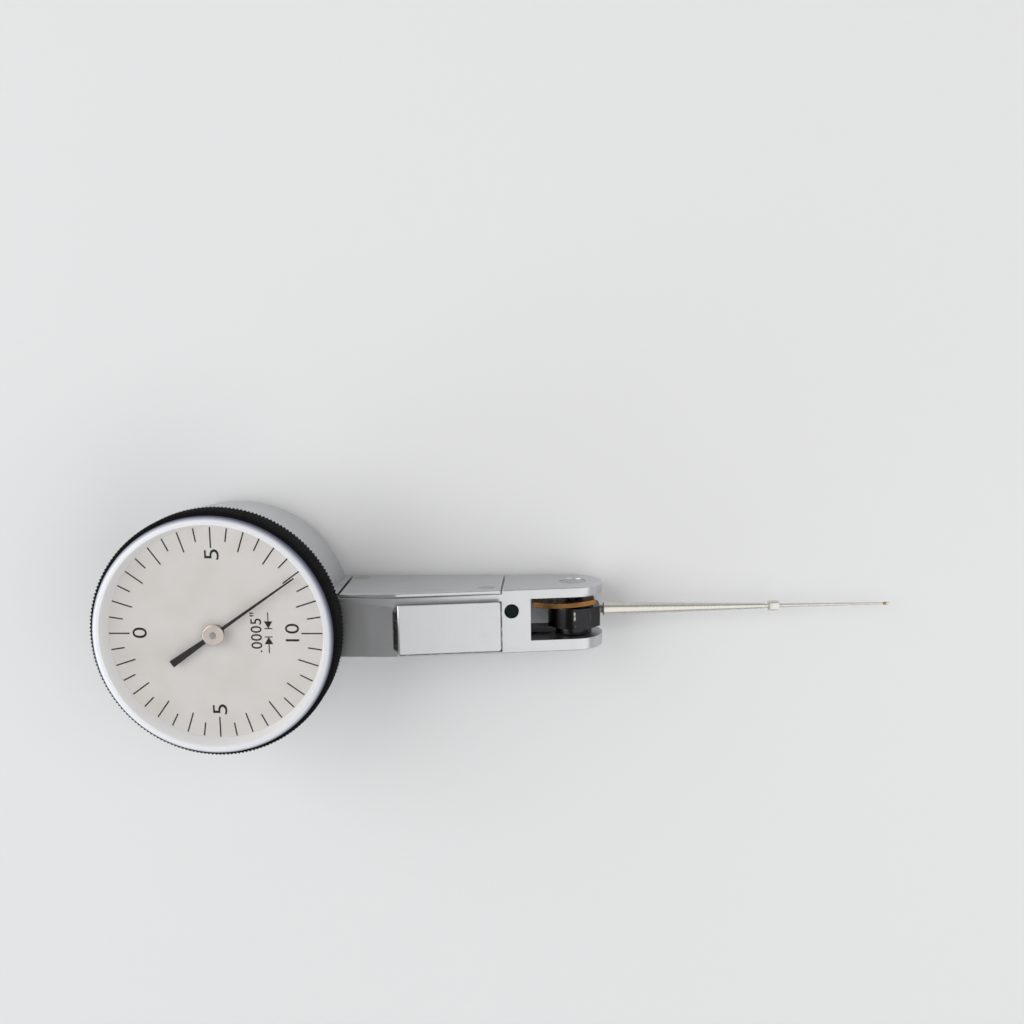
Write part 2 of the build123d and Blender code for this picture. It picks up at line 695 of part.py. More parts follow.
# Bridge heights: the arm that holds the lower end of the pointer's arbor
# clears the crown pinion's teeth, and the centre pinion sits level with the
# top of the crown wheel
pinion_tip = pinion_pitch + ADDENDUM * sector_module
arm_low_z = train_z + pinion_tip + GAP
arm_top_z = arm_low_z + ARM_THICKNESS
cheek_top_z = train_z + JEWEL_RADIUS + ARM_THICKNESS / 2 + GAP
centre_pinion_z = train_z + crown_pitch - CENTRE_PINION_LENGTH / 2
arm_jewel_z = arm_low_z + (ARM_THICKNESS - JEWEL_THICKNESS) / 2
plate_jewel_z = plate_low_z + (PLATE_THICKNESS - JEWEL_THICKNESS) / 2
low_jewel_y = CHEEK_LOW_Y + (CHEEK_THICKNESS + JEWEL_THICKNESS) / 2
high_jewel_y = CHEEK_HIGH_Y + (CHEEK_THICKNESS + JEWEL_THICKNESS) / 2
wall_jewel_y = POCKET_LOW_Y - END_SHAKE
cock_jewel_y = COCK_LOW_Y + (COCK_THICKNESS + JEWEL_THICKNESS) / 2

with BuildPart() as centre_pinion:
    with BuildSketch(Plane.XY.offset(arm_top_z + END_SHAKE)):
        Circle(CENTRE_ARBOR_RADIUS)
    extrude(amount=hub_cap_z + HUB_CAP_HEIGHT - arm_top_z)
    with BuildSketch(Plane.XY.offset(arm_jewel_z)):
        Circle(CENTRE_PIVOT_RADIUS)
    extrude(amount=arm_top_z + 2 * END_SHAKE - arm_jewel_z)
    with BuildSketch(Plane.XY.offset(centre_pinion_z)):
        Circle(centre_pitch - DEDENDUM * CROWN_MODULE)
        gear_teeth(
            CROWN_MODULE, PINION_TEETH,
            [90 + 360 * (index + 0.5) / PINION_TEETH for index in range(PINION_TEETH)],
        )
    extrude(amount=CENTRE_PINION_LENGTH)
centre_pinion.part.label = "centre_pinion"
export_step(centre_pinion.part, "parts/centre_pinion.step")

# Crown wheel: its teeth stand on the face that looks at the pointer's arbor
crown_tooth_tip_y = centre_pitch - ADDENDUM * CROWN_MODULE
crown_face_y = centre_pitch + ADDENDUM * CROWN_MODULE + CROWN_TOOTH_GAP
crown_back_y = crown_face_y + CROWN_WHEEL_THICKNESS
crown_outer = crown_pitch + CROWN_FACE / 2
crown_inner = crown_pitch - CROWN_FACE / 2
with BuildPart() as crown_wheel:
    with BuildSketch(crown_plane.offset(-crown_back_y)):
        Circle(crown_outer)
        Circle(crown_inner - GAP, mode=Mode.SUBTRACT)
        Circle(CROWN_EYE_RADIUS)
        with PolarLocations(crown_inner / 2, CROWN_SPOKES, start_angle=90):
            Rectangle(crown_inner, CROWN_SPOKE_WIDTH)
        Circle(ARBOR_RADIUS + SEAT, mode=Mode.SUBTRACT)
    extrude(amount=CROWN_WHEEL_THICKNESS)
    with BuildSketch(crown_plane.offset(-crown_face_y)):
        with PolarLocations(crown_pitch, CROWN_TEETH, start_angle=90):
            Rectangle(CROWN_FACE, CROWN_TOOTH_ROOT)
    extrude(amount=crown_face_y - crown_tooth_tip_y, taper=CROWN_TOOTH_TAPER)
crown_wheel.part.label = "crown_wheel"
export_step(crown_wheel.part, "parts/crown_wheel.step")

with BuildPart() as crown_pinion:
    with BuildSketch(crown_plane.offset(-CHEEK_HIGH_Y + END_SHAKE)):
        Circle(ARBOR_RADIUS)
    extrude(amount=CHEEK_HIGH_Y - CHEEK_LOW_Y - CHEEK_THICKNESS - 2 * END_SHAKE)
    with BuildSketch(crown_plane.offset(-high_jewel_y)):
        Circle(TRAIN_PIVOT_RADIUS)
    extrude(amount=high_jewel_y - low_jewel_y + JEWEL_THICKNESS)
    with BuildSketch(crown_plane.offset(-CROWN_PINION_HIGH_Y)):
        Circle(pinion_pitch - DEDENDUM * sector_module)
        gear_teeth(
            sector_module, PINION_TEETH,
            [360 * index / PINION_TEETH for index in range(PINION_TEETH)],
        )
    extrude(amount=CROWN_PINION_LENGTH)
crown_pinion.part.label = "crown_pinion"
export_step(crown_pinion.part, "parts/crown_pinion.step")

# Sector: a toothed rim on two arms, with the eye that the reversing pins stand in
tooth_angle = 360 / SECTOR_TEETH
sector_root = sector_pitch - DEDENDUM * sector_module
rim_low = 180 + tooth_angle * SECTOR_LOW_TEETH
rim_high = 180 - tooth_angle * SECTOR_HIGH_TEETH
rim_inner = sector_root - SECTOR_RIM
pin_places = [on_lever(-lever_back - pin_offset, 0), on_lever(-lever_back + pin_offset, 0)]
with BuildPart() as sector:
    with BuildSketch(sector_plane.offset(-SECTOR_HIGH_Y)):
        with BuildLine():
            rim_arc = CenterArc((0, 0), sector_root, rim_high, rim_low - rim_high)
            Line(rim_arc @ 1, (0, 0))
            Line((0, 0), rim_arc @ 0)
        make_face()
        with BuildLine():
            window_arc = CenterArc(
                (0, 0), rim_inner, rim_high + SECTOR_WINDOW_MARGIN,
                rim_low - rim_high - 2 * SECTOR_WINDOW_MARGIN,
            )
            Line(window_arc @ 1, (-SECTOR_EYE_RADIUS - SECTOR_ARM, 0))
            Line((-SECTOR_EYE_RADIUS - SECTOR_ARM, 0), window_arc @ 0)
        make_face(mode=Mode.SUBTRACT)
        Circle(SECTOR_EYE_RADIUS)
        gear_teeth(
            sector_module, SECTOR_TEETH,
            [180 + tooth_angle * (index + 0.5) for index in range(-SECTOR_HIGH_TEETH, SECTOR_LOW_TEETH)],
        )
        Circle(ARBOR_RADIUS + SEAT, mode=Mode.SUBTRACT)
    extrude(amount=SECTOR_THICKNESS)
    with BuildSketch(across(SECTOR_HIGH_Y)):
        with Locations(*pin_places):
            Circle(PIN_RADIUS + SEAT)
    extrude(amount=SECTOR_THICKNESS, mode=Mode.SUBTRACT)
sector.part.label = "sector"
export_step(sector.part, "parts/sector.step")

with BuildPart() as sector_arbor:
    with BuildSketch(sector_plane.offset(-COCK_LOW_Y + END_SHAKE)):
        Circle(ARBOR_RADIUS)
    extrude(amount=COCK_LOW_Y - POCKET_LOW_Y - 2 * END_SHAKE)
    with BuildSketch(sector_plane.offset(-cock_jewel_y)):
        Circle(TRAIN_PIVOT_RADIUS)
    extrude(amount=cock_jewel_y - wall_jewel_y + JEWEL_THICKNESS)
sector_arbor.part.label = "sector_arbor"
export_step(sector_arbor.part, "parts/sector_arbor.step")

with BuildPart() as reversing_pins:
    with BuildSketch(across(SECTOR_HIGH_Y + END_SHAKE)):
        with Locations(*pin_places):
            Circle(PIN_RADIUS)
    extrude(amount=PIN_LENGTH)
reversing_pins.part.label = "reversing_pins"
export_step(reversing_pins.part, "parts/reversing_pins.step")

# Sector cock: it stands on two posts and holds the arbor's outer end
with BuildPart() as sector_cock:
    with BuildSketch(across(COCK_LOW_Y + COCK_THICKNESS)):
        with Locations((sector_x, train_z)):
            Circle(COCK_EYE_RADIUS)
        with Locations(*post_places):
            Circle(POST_RADIUS)
        make_hull()
        with Locations((sector_x, train_z)):
            Circle(JEWEL_RADIUS + SEAT, mode=Mode.SUBTRACT)
        with Locations(*post_places):
            Circle(COCK_SCREW[2] + SEAT, mode=Mode.SUBTRACT)
    extrude(amount=COCK_THICKNESS)
sector_cock.part.label = "sector_cock"
export_step(sector_cock.part, "parts/sector_cock.step")

cock_screw = slotted_screw(*COCK_SCREW)
cock_screw_y = COCK_LOW_Y + COCK_THICKNESS + COCK_SCREW[1]
with BuildPart() as cock_screws:
    with Locations(*[facing(x, cock_screw_y, z, 1) for x, z in post_places]):
        add(cock_screw)
cock_screws.part.label = "cock_screws"
export_step(cock_screws.part, "parts/cock_screws.step")

# Movement bridge: a foot, two cheeks for the crown arbor and an arm under the pointer's arbor
with BuildPart() as movement_bridge:
    with BuildSketch(Plane.YZ):
        with BuildLine():
            Polyline(
                (BRIDGE_LOW_Y, CASE_FLOOR), (BRIDGE_HIGH_Y, CASE_FLOOR),
                (BRIDGE_HIGH_Y, bridge_top_z), (CHEEK_HIGH_Y + CHEEK_THICKNESS, bridge_top_z),
                (CHEEK_HIGH_Y + CHEEK_THICKNESS, cheek_top_z), (CHEEK_HIGH_Y, cheek_top_z),
                (CHEEK_HIGH_Y, bridge_top_z), (CHEEK_LOW_Y + CHEEK_THICKNESS, bridge_top_z),
                (CHEEK_LOW_Y + CHEEK_THICKNESS, arm_top_z), (CHEEK_LOW_Y, arm_top_z),
                (CHEEK_LOW_Y, bridge_top_z), (BRIDGE_LOW_Y, bridge_top_z), close=True,
            )
        make_face()
    extrude(amount=BRIDGE_HALF_WIDTH, both=True)
    with BuildSketch(Plane.XY.offset(arm_low_z)):
        Circle(ARM_HALF_WIDTH)
        with Locations((0, CHEEK_LOW_Y)):
            Rectangle(2 * ARM_HALF_WIDTH, -CHEEK_LOW_Y, align=(Align.CENTER, Align.MIN))
    extrude(amount=ARM_THICKNESS)
    with BuildSketch(Plane.XY.offset(arm_low_z)):
        Circle(JEWEL_RADIUS + SEAT)
    extrude(amount=ARM_THICKNESS, mode=Mode.SUBTRACT)
    with BuildSketch(crown_plane.offset(-BRIDGE_HIGH_Y)):
        Circle(JEWEL_RADIUS + SEAT)
    extrude(amount=BRIDGE_HIGH_Y - BRIDGE_LOW_Y, mode=Mode.SUBTRACT)
    with BuildSketch(Plane.XY.offset(CASE_FLOOR)):
        with Locations(*[(0, y) for y in bridge_screw_ys]):
            Circle(BRIDGE_SCREW[2] + SEAT)
    extrude(amount=BRIDGE_THICKNESS, mode=Mode.SUBTRACT)
movement_bridge.part.label = "movement_bridge"
export_step(movement_bridge.part, "parts/movement_bridge.step")

bridge_screw = slotted_screw(*BRIDGE_SCREW)
with BuildPart() as bridge_screws:
    with Locations(*[(0, y, bridge_top_z + BRIDGE_SCREW[1]) for y in bridge_screw_ys]):
        add(bridge_screw)
bridge_screws.part.label = "bridge_screws"
export_step(bridge_screws.part, "parts/bridge_screws.step")

# Hairspring: half turns whose radius grows by an equal step, from the collet to the stud
strip_width, strip_height = HAIRSPRING_STRIP
spring_low_z = plate_low_z - HAIRSPRING_BELOW_PLATE - strip_height
half_turns = 2 * HAIRSPRING_TURNS
half_turn_step = (HAIRSPRING_END - HAIRSPRING_START) / half_turns
with BuildPart() as hairspring:
    with BuildSketch(Plane.XY.offset(spring_low_z)):
        with BuildLine():
            for index in range(half_turns):
                side = 1 - 2 * (index % 2)
                here = side * (HAIRSPRING_START + index * half_turn_step)
                there = -side * (HAIRSPRING_START + (index + 1) * half_turn_step)
                ThreePointArc(
                    (here, 0), ((here + there) / 2, side * abs(here - there) / 2), (there, 0),
                )
        trace(line_width=strip_width)
    extrude(amount=strip_height)
hairspring.part.label = "hairspring"
export_step(hairspring.part, "parts/hairspring.step")

collet_z = spring_low_z + (strip_height - COLLET_HEIGHT) / 2
with BuildPart() as hairspring_collet:
    with BuildSketch(Plane.XY.offset(collet_z)):
        Circle(COLLET_RADIUS)
        Circle(CENTRE_ARBOR_RADIUS + SEAT, mode=Mode.SUBTRACT)
    extrude(amount=COLLET_HEIGHT)
hairspring_collet.part.label = "hairspring_collet"
export_step(hairspring_collet.part, "parts/hairspring_collet.step")

stud_x = HAIRSPRING_END + strip_width / 2 + STUD_RADIUS + SEAT
with BuildPart() as hairspring_stud:
    with BuildSketch(Plane.XY.offset(spring_low_z)):
        with Locations((stud_x, 0)):
            Circle(STUD_RADIUS)
    extrude(amount=plate_top_z - spring_low_z)
hairspring_stud.part.label = "hairspring_stud"
export_step(hairspring_stud.part, "parts/hairspring_stud.step")

with BuildPart() as movement_plate:
    with BuildSketch(Plane.XY.offset(plate_low_z)):
        Circle(plate_radius)
        Circle(CENTRE_JEWEL_RADIUS + SEAT, mode=Mode.SUBTRACT)
        with Locations((stud_x, 0)):
            Circle(STUD_RADIUS + SEAT, mode=Mode.SUBTRACT)
        with Locations(*lug_places):
            Circle(PLATE_SCREW[2] + SEAT, mode=Mode.SUBTRACT)
    extrude(amount=PLATE_THICKNESS)
movement_plate.part.label = "movement_plate"
export_step(movement_plate.part, "parts/movement_plate.step")

plate_screw = slotted_screw(*PLATE_SCREW)
with BuildPart() as plate_screws:
    with Locations(*[(x, y, plate_top_z + PLATE_SCREW[1]) for x, y in lug_places]):
        add(plate_screw)
plate_screws.part.label = "plate_screws"
export_step(plate_screws.part, "parts/plate_screws.step")

# Jewels: two for the pointer's arbor, two for the crown arbor, two for the sector's arbor
with BuildPart() as jewels:
    with BuildSketch(Plane.XY.offset(plate_jewel_z)):
        Circle(CENTRE_JEWEL_RADIUS)
        Circle(CENTRE_ARBOR_RADIUS + RUNNING, mode=Mode.SUBTRACT)
    extrude(amount=JEWEL_THICKNESS)
    with BuildSketch(Plane.XY.offset(arm_jewel_z)):
        Circle(JEWEL_RADIUS)
        Circle(CENTRE_PIVOT_RADIUS + RUNNING, mode=Mode.SUBTRACT)
    extrude(amount=JEWEL_THICKNESS)
    for plane in (
        crown_plane.offset(-low_jewel_y), crown_plane.offset(-high_jewel_y),
        sector_plane.offset(-wall_jewel_y), sector_plane.offset(-cock_jewel_y),
    ):
        with BuildSketch(plane):
            Circle(JEWEL_RADIUS)
            Circle(TRAIN_PIVOT_RADIUS + RUNNING, mode=Mode.SUBTRACT)
        extrude(amount=JEWEL_THICKNESS)
jewels.part.label = "jewels"
export_step(jewels.part, "parts/jewels.step")

# Fork pivot: shaft, two bearings in the ears and the screws that hold them
with BuildPart() as pivot_shaft:
    with BuildSketch(lever_plane.offset(-SLOT_HIGH_Y + END_SHAKE)):
        Circle(SHAFT_RADIUS)
    extrude(amount=SLOT_HIGH_Y - SLOT_LOW_Y - 2 * END_SHAKE)
    with BuildSketch(lever_plane.offset(-high_screw_bed_y + END_SHAKE)):
        Circle(SHAFT_PIVOT_RADIUS)
    extrude(amount=high_screw_bed_y - low_screw_bed_y - 2 * END_SHAKE)
pivot_shaft.part.label = "pivot_shaft"
export_step(pivot_shaft.part, "parts/pivot_shaft.step")

with BuildPart() as pivot_bearings:
    for top_y in (high_screw_bed_y, low_bearing_y):
        with BuildSketch(lever_plane.offset(-top_y)):
            Circle(BEARING_RADIUS)
            Circle(SHAFT_PIVOT_RADIUS + RUNNING, mode=Mode.SUBTRACT)
        extrude(amount=BEARING_LENGTH)
pivot_bearings.part.label = "pivot_bearings"
export_step(pivot_bearings.part, "parts/pivot_bearings.step")

screw_face_y = half_width - BEARING_SCREW_INSET
with BuildPart() as bearing_screws:
    for face_y, bed_y in ((screw_face_y, high_screw_bed_y), (-screw_face_y, low_screw_bed_y)):
        with BuildSketch(lever_plane.offset(-face_y)):
            Circle(BEARING_SCREW_RADIUS)
        extrude(amount=face_y - bed_y)
        with BuildSketch(lever_plane.offset(-face_y)):
            Rectangle(2 * (BEARING_SCREW_RADIUS + GAP), SLOT_WIDTH * BEARING_SCREW_RADIUS)
        extrude(amount=SLOT_DEPTH * (face_y - bed_y), mode=Mode.SUBTRACT)
bearing_screws.part.label = "bearing_screws"
export_step(bearing_screws.part, "parts/bearing_screws.step")

# Lever arm: its tail straddles the sector's arbor, and the stepped window bears on the pins
tail_end = TAIL_LENGTH / 2 - TAIL_RIM
tail_high = TAIL_HEIGHT / 2 - TAIL_RIM
pin_stop = PIN_RADIUS + TAIL_GAP
with BuildPart() as lever_arm:
    with BuildSketch(lever_plane.offset(-LEVER_HIGH_Y)):
        Circle(LEVER_EYE_RADIUS)
        Rectangle(lever_back, LEVER_HEIGHT, align=(Align.MAX, Align.CENTER))
        with Locations((-lever_back, 0)):
            RectangleRounded(TAIL_LENGTH, TAIL_HEIGHT, TAIL_RIM)
            Polygon(
                (-tail_end, -tail_high), (TAIL_STEP, -tail_high), (TAIL_STEP, -pin_stop),
                (tail_end, -pin_stop), (tail_end, tail_high), (-TAIL_STEP, tail_high),
                (-TAIL_STEP, pin_stop), (-tail_end, pin_stop),
                align=None, mode=Mode.SUBTRACT,
            )
        Circle(SHAFT_RADIUS + SEAT, mode=Mode.SUBTRACT)
    extrude(amount=LEVER_THICKNESS)
lever_arm.part.label = "lever_arm"
export_step(lever_arm.part, "parts/lever_arm.step")

# Friction spring: a bowed bronze leaf on the shaft, held by a nut
leaf_plane = Plane(
    origin=lever_plane.origin - lever_plane.y_dir * LEAF_HEIGHT / 2,
    x_dir=lever_plane.x_dir, z_dir=lever_plane.y_dir,
)
with BuildPart() as friction_spring:
    with BuildSketch(leaf_plane):
        with BuildLine():
            ThreePointArc(LEAF_BACK, LEAF_MIDDLE, LEAF_FRONT)
        trace(line_width=LEAF_THICKNESS)
    extrude(amount=LEAF_HEIGHT)
    with BuildSketch(lever_plane.offset(-SLOT_HIGH_Y)):
        Circle(SHAFT_RADIUS + SEAT)
    extrude(amount=SLOT_HIGH_Y, mode=Mode.SUBTRACT)
friction_spring.part.label = "friction_spring"
export_step(friction_spring.part, "parts/friction_spring.step")

with BuildPart() as spring_nut:
    with BuildSketch(lever_plane.offset(-NUT_LOW_Y - NUT_THICKNESS)):
        RegularPolygon(NUT_RADIUS, 6)
        Circle(SHAFT_RADIUS + SEAT, mode=Mode.SUBTRACT)
    extrude(amount=NUT_THICKNESS)
spring_nut.part.label = "spring_nut"
export_step(spring_nut.part, "parts/spring_nut.step")

# Hub of the contact point: a thick disc with a faceted nose that takes the screwed shank
stylus_axis = Plane(
    origin=lever_plane.from_local_coords((0, 0, -STYLUS_Y)),
    x_dir=lever_plane.x_dir, z_dir=lever_plane.z_dir,
)
shank_end = Plane(
    origin=stylus_axis.from_local_coords((HUB_NOSE, 0, 0)),
    x_dir=(0, 1, 0), z_dir=lever_plane.x_dir,
)
nose_shoulder = sqrt(HUB_RADIUS ** 2 - HUB_SHOULDER ** 2) + 2 * GAP
with BuildPart() as stylus_hub:
    with BuildSketch(lever_plane.offset(-HUB_HIGH_Y)):
        Circle(HUB_RADIUS)
        Polygon(
            (0, HUB_RADIUS), (GAP, HUB_RADIUS), (HUB_SHOULDER, nose_shoulder),
            (HUB_NOSE, HUB_NOSE_HALF), (HUB_NOSE, -HUB_NOSE_HALF),
            (HUB_SHOULDER, -nose_shoulder), (GAP, -HUB_RADIUS), (0, -HUB_RADIUS),
            align=None,
        )
        Circle(SHAFT_RADIUS + RUNNING, mode=Mode.SUBTRACT)
    extrude(amount=HUB_HIGH_Y - HUB_LOW_Y)
    with BuildSketch(shank_end):
        Circle(SCREW_RADIUS + SEAT)
    extrude(amount=SCREW_START - HUB_NOSE, mode=Mode.SUBTRACT)
stylus_hub.part.label = "stylus_hub"
export_step(stylus_hub.part, "parts/stylus_hub.step")

# Contact point: tapered shank, collar with two flats, slender point and ball
stylus_line = Axis(stylus_axis.origin, stylus_axis.x_dir)
with BuildPart() as stylus_shank:
    with BuildSketch(stylus_axis):
        with BuildLine():
            Polyline(
                (SCREW_START, 0), (SCREW_START, SCREW_RADIUS), (SHANK_START, SCREW_RADIUS),
                (SHANK_START, SHANK_RADIUS), (shank_end_s, SHANK_TIP_RADIUS), (shank_end_s, NECK_RADIUS),
                (shank_end_s + NECK_LENGTH, NECK_RADIUS), (shank_end_s + NECK_LENGTH, 0), close=True,
            )
        make_face()
    revolve(axis=stylus_line)
stylus_shank.part.label = "stylus_shank"
export_step(stylus_shank.part, "parts/stylus_shank.step")

collar_start = shank_end_s + NECK_LENGTH
collar_end = collar_start + COLLAR_LENGTH
with BuildPart() as stylus_collar:
    with BuildSketch(stylus_axis):
        with BuildLine():
            Polyline(
                (collar_start, 0), (collar_start, COLLAR_RADIUS), (collar_end, COLLAR_RADIUS),
                (collar_end, 0), close=True,
            )
        make_face()
    revolve(axis=stylus_line)
    with BuildSketch(stylus_axis.offset(-COLLAR_RADIUS)):
        with Locations((collar_start, COLLAR_FLATS / 2)):
            Rectangle(COLLAR_LENGTH, COLLAR_RADIUS, align=(Align.MIN, Align.MIN))
        with Locations((collar_start, -COLLAR_FLATS / 2)):
            Rectangle(COLLAR_LENGTH, COLLAR_RADIUS, align=(Align.MIN, Align.MAX))
    extrude(amount=2 * COLLAR_RADIUS, mode=Mode.SUBTRACT)
stylus_collar.part.label = "stylus_collar"
export_step(stylus_collar.part, "parts/stylus_collar.step")

point_end = STYLUS_LENGTH - sqrt(BALL_RADIUS ** 2 - POINT_TIP_RADIUS ** 2)
with BuildPart() as stylus_point:
    with BuildSketch(stylus_axis):
        with BuildLine():
            Polyline(
                (collar_end, 0), (collar_end, POINT_RADIUS), (point_end, POINT_TIP_RADIUS),
                (point_end, 0), close=True,
            )
        make_face()
    revolve(axis=stylus_line)
stylus_point.part.label = "stylus_point"
export_step(stylus_point.part, "parts/stylus_point.step")

with BuildPart() as contact_ball:
    with BuildSketch(stylus_axis):
        with BuildLine():
            Line((STYLUS_LENGTH + BALL_RADIUS, 0), (point_end, 0))
            Line((point_end, 0), (point_end, POINT_TIP_RADIUS))
            ThreePointArc(
                (point_end, POINT_TIP_RADIUS), (STYLUS_LENGTH, BALL_RADIUS),
                (STYLUS_LENGTH + BALL_RADIUS, 0),
            )
        make_face()
    revolve(axis=stylus_line)
contact_ball.part.label = "contact_ball"
export_step(contact_ball.part, "parts/contact_ball.step")

# Adjusting screw in its hole, with the seal over it
with BuildPart() as adjusting_screw:
    with BuildSketch(adjust_plane.offset(-SEAL_INSET - SEAL_THICKNESS)):
        Circle(ADJUST_RADIUS)
    extrude(amount=-ADJUST_LENGTH)
adjusting_screw.part.label = "adjusting_screw"
export_step(adjusting_screw.part, "parts/adjusting_screw.step")

with BuildPart() as screw_seal:
    with BuildSketch(adjust_plane.offset(-SEAL_INSET)):
        Circle(ADJUST_RADIUS)
    extrude(amount=-SEAL_THICKNESS)
screw_seal.part.label = "screw_seal"
export_step(screw_seal.part, "parts/screw_seal.step")
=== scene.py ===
import json
import math

import bmesh
import bpy
from mathutils import Euler, Matrix, Vector


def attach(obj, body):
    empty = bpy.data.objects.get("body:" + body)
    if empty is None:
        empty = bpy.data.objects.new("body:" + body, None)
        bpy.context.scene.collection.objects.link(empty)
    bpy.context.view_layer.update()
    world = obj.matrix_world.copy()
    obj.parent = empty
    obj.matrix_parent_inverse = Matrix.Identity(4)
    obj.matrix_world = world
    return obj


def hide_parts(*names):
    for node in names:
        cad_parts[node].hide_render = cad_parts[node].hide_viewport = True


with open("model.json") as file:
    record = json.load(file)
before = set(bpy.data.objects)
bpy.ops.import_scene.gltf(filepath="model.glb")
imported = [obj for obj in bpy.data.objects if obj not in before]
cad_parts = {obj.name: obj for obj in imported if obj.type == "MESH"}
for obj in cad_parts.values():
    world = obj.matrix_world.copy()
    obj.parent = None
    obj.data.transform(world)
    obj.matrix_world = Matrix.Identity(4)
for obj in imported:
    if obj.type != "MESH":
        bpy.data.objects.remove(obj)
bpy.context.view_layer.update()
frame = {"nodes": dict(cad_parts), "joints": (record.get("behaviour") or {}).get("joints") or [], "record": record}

# Body. One piece of steel with the round case, the neck, the sloping front, the
# fork's ears and the dovetail rails. It is milled, its edges are broken, and all
# of it is satin chrome plated, with a fine grain that runs along the bar.
MM = 0.001
CHROME = (0.57, 0.575, 0.585)
CHROME_WORN = (0.85, 0.85, 0.85)
BODY_EDGE = 0.04
JOINT_Y = 3.2
JOINT_BEVEL = 0.09
SEAM_LENGTH = 2
SEAM_TURN = 80
SEAM_LEVEL = 0.9
LEVEL_PIECES = ("body_shell", "side_plate")
LEVEL = 0.95
MERGE = 0.001
FLAT_TURN = 0.4
SHARP_TURN = 28
CREASE_TURN = 40
LEVEL_CREASE_TURN = 4
BLOTCH_SHARE = 0.06
WEAR_SCALE = 900
WEAR_SHOWN = (0.35, 0.62)
STAIN_SCALE = 230
STAIN_SHOWN = (0.42, 0.7)
SCRATCH_SCALE = 2600
SCRATCH_SOFT = 0.04
SCRATCH_RUNS = ((17, 0.03, 0.66), (-52, 0.05, 0.69))
FRONT_SLOPE = 8.1
RAIL_CENTRE = (25.343, -0.55, 9.785)
RAIL_HALF = (6.05, 2.85)
RAMP_END = -5.6
RAMP_HALF = 2.1
RAMP_DROP = 0.2
RAMP_SOFT = (0.1, 0.3)
# Painted shade around the foot of the front rail, and a painted dark reflection on the ramp at its end: their
# colour and extent.
RAIL_SHADE_COLOUR = (0.06, 0.05, 0.042)
RAIL_SHADE_REACH = (0.03, 0.15)
RAIL_SHADE_HEIGHT = (0.85, 0.25)
RAIL_SHADE_FLOOR = (-0.25, -0.15)
RAIL_SHADE_SOFT = 0.15
RAIL_SHADE_PATCHES = 1800
RAIL_SHADE_SHOWN = (0.3, 0.5)
RAIL_SHADE_THIN = 0.6
# How far the painted highlight line on the contact point's hub reaches.
HIGHLIGHT_LINE_REACH = (0.07, 0.13)


def add_node(tree, kind, sockets=None, **settings):
    """A shader node with its settings, each named socket set or linked."""
    made = tree.nodes.new("ShaderNode" + kind)
    for key, value in settings.items():
        setattr(made, key, value)
    for key, value in (sockets or {}).items():
        if isinstance(value, bpy.types.NodeSocket):
            tree.links.new(value, made.inputs[key])
        else:
            made.inputs[key].default_value = value
    return made


def maths(tree, operation, *values):
    """The result of a math node on values or sockets."""
    return add_node(tree, "Math", dict(enumerate(values)), operation=operation).outputs[0]


def vector_maths(tree, operation, *values):
    """The vector that a vector math node makes of vectors or sockets."""
    return add_node(tree, "VectorMath", dict(enumerate(values)), operation=operation).outputs[0]


def vector_length(tree, vector):
    """The length of a vector."""
    return add_node(tree, "VectorMath", {0: vector}, operation="LENGTH").outputs["Value"]


def ramp(tree, value, low, high, start=0, end=1):
    """A value moved from the range low to high into start to end, and held there."""
    return add_node(tree, "MapRange", {
        "Value": value, "From Min": low, "From Max": high, "To Min": start, "To Max": end,
    }).outputs[0]


def noise(tree, vector, scale, **sockets):
    """The grey value of a noise texture."""
    return add_node(
        tree, "TexNoise", {"Vector": vector, "Scale": scale, **sockets},
    ).outputs["Fac"]


def blend(tree, share, first, second):
    """A colour between two, by a share from 0 to 1."""
    return add_node(
        tree, "Mix", {0: share, 6: first, 7: second}, data_type="RGBA",
    ).outputs[2]


def new_group(name, inputs, outputs):
    """An empty shader group with named sockets, and its input and output nodes."""
    tree = bpy.data.node_groups.new(name, "ShaderNodeTree")
    for way, sockets in (("INPUT", inputs), ("OUTPUT", outputs)):
        for label, kind in sockets:
            tree.interface.new_socket(
                name=label, in_out=way, socket_type="NodeSocket" + kind,
            )
    given = tree.nodes.new("NodeGroupInput").outputs
    return tree, given, tree.nodes.new("NodeGroupOutput").inputs


def metal_grain():
    """Colour, roughness and normal of a surface with fine grain and soft blotches."""
    tree, given, put = new_group(
        "metal_grain",
        [("Vector", "Vector"), ("Scale", "Float"), ("Colour", "Color"), ("Spread", "Float"),
         ("Roughness", "Float"), ("Rough Spread", "Float"), ("Depth", "Float")],
        [("Colour", "Color"), ("Roughness", "Float"), ("Normal", "Vector")],
    )
    fine = noise(tree, given["Vector"], given["Scale"], Detail=3, Roughness=0.6)
    wide_scale = maths(tree, "MULTIPLY", given["Scale"], BLOTCH_SHARE)
    wide = noise(tree, given["Vector"], wide_scale, Detail=2)
    centred = maths(tree, "SUBTRACT", maths(tree, "ADD", fine, wide), 1)
    shade = maths(tree, "MULTIPLY_ADD", centred, given["Spread"], 1)
    tinted = add_node(
        tree, "VectorMath", {0: given["Colour"], "Scale": shade}, operation="SCALE",
    ).outputs[0]
    rough = maths(tree, "MULTIPLY_ADD", centred, given["Rough Spread"], given["Roughness"])
    bump = add_node(tree, "Bump", {"Height": fine, "Distance": given["Depth"], "Strength": 1})
    tree.links.new(tinted, put["Colour"])
    tree.links.new(rough, put["Roughness"])
    tree.links.new(bump.outputs[0], put["Normal"])
    return tree


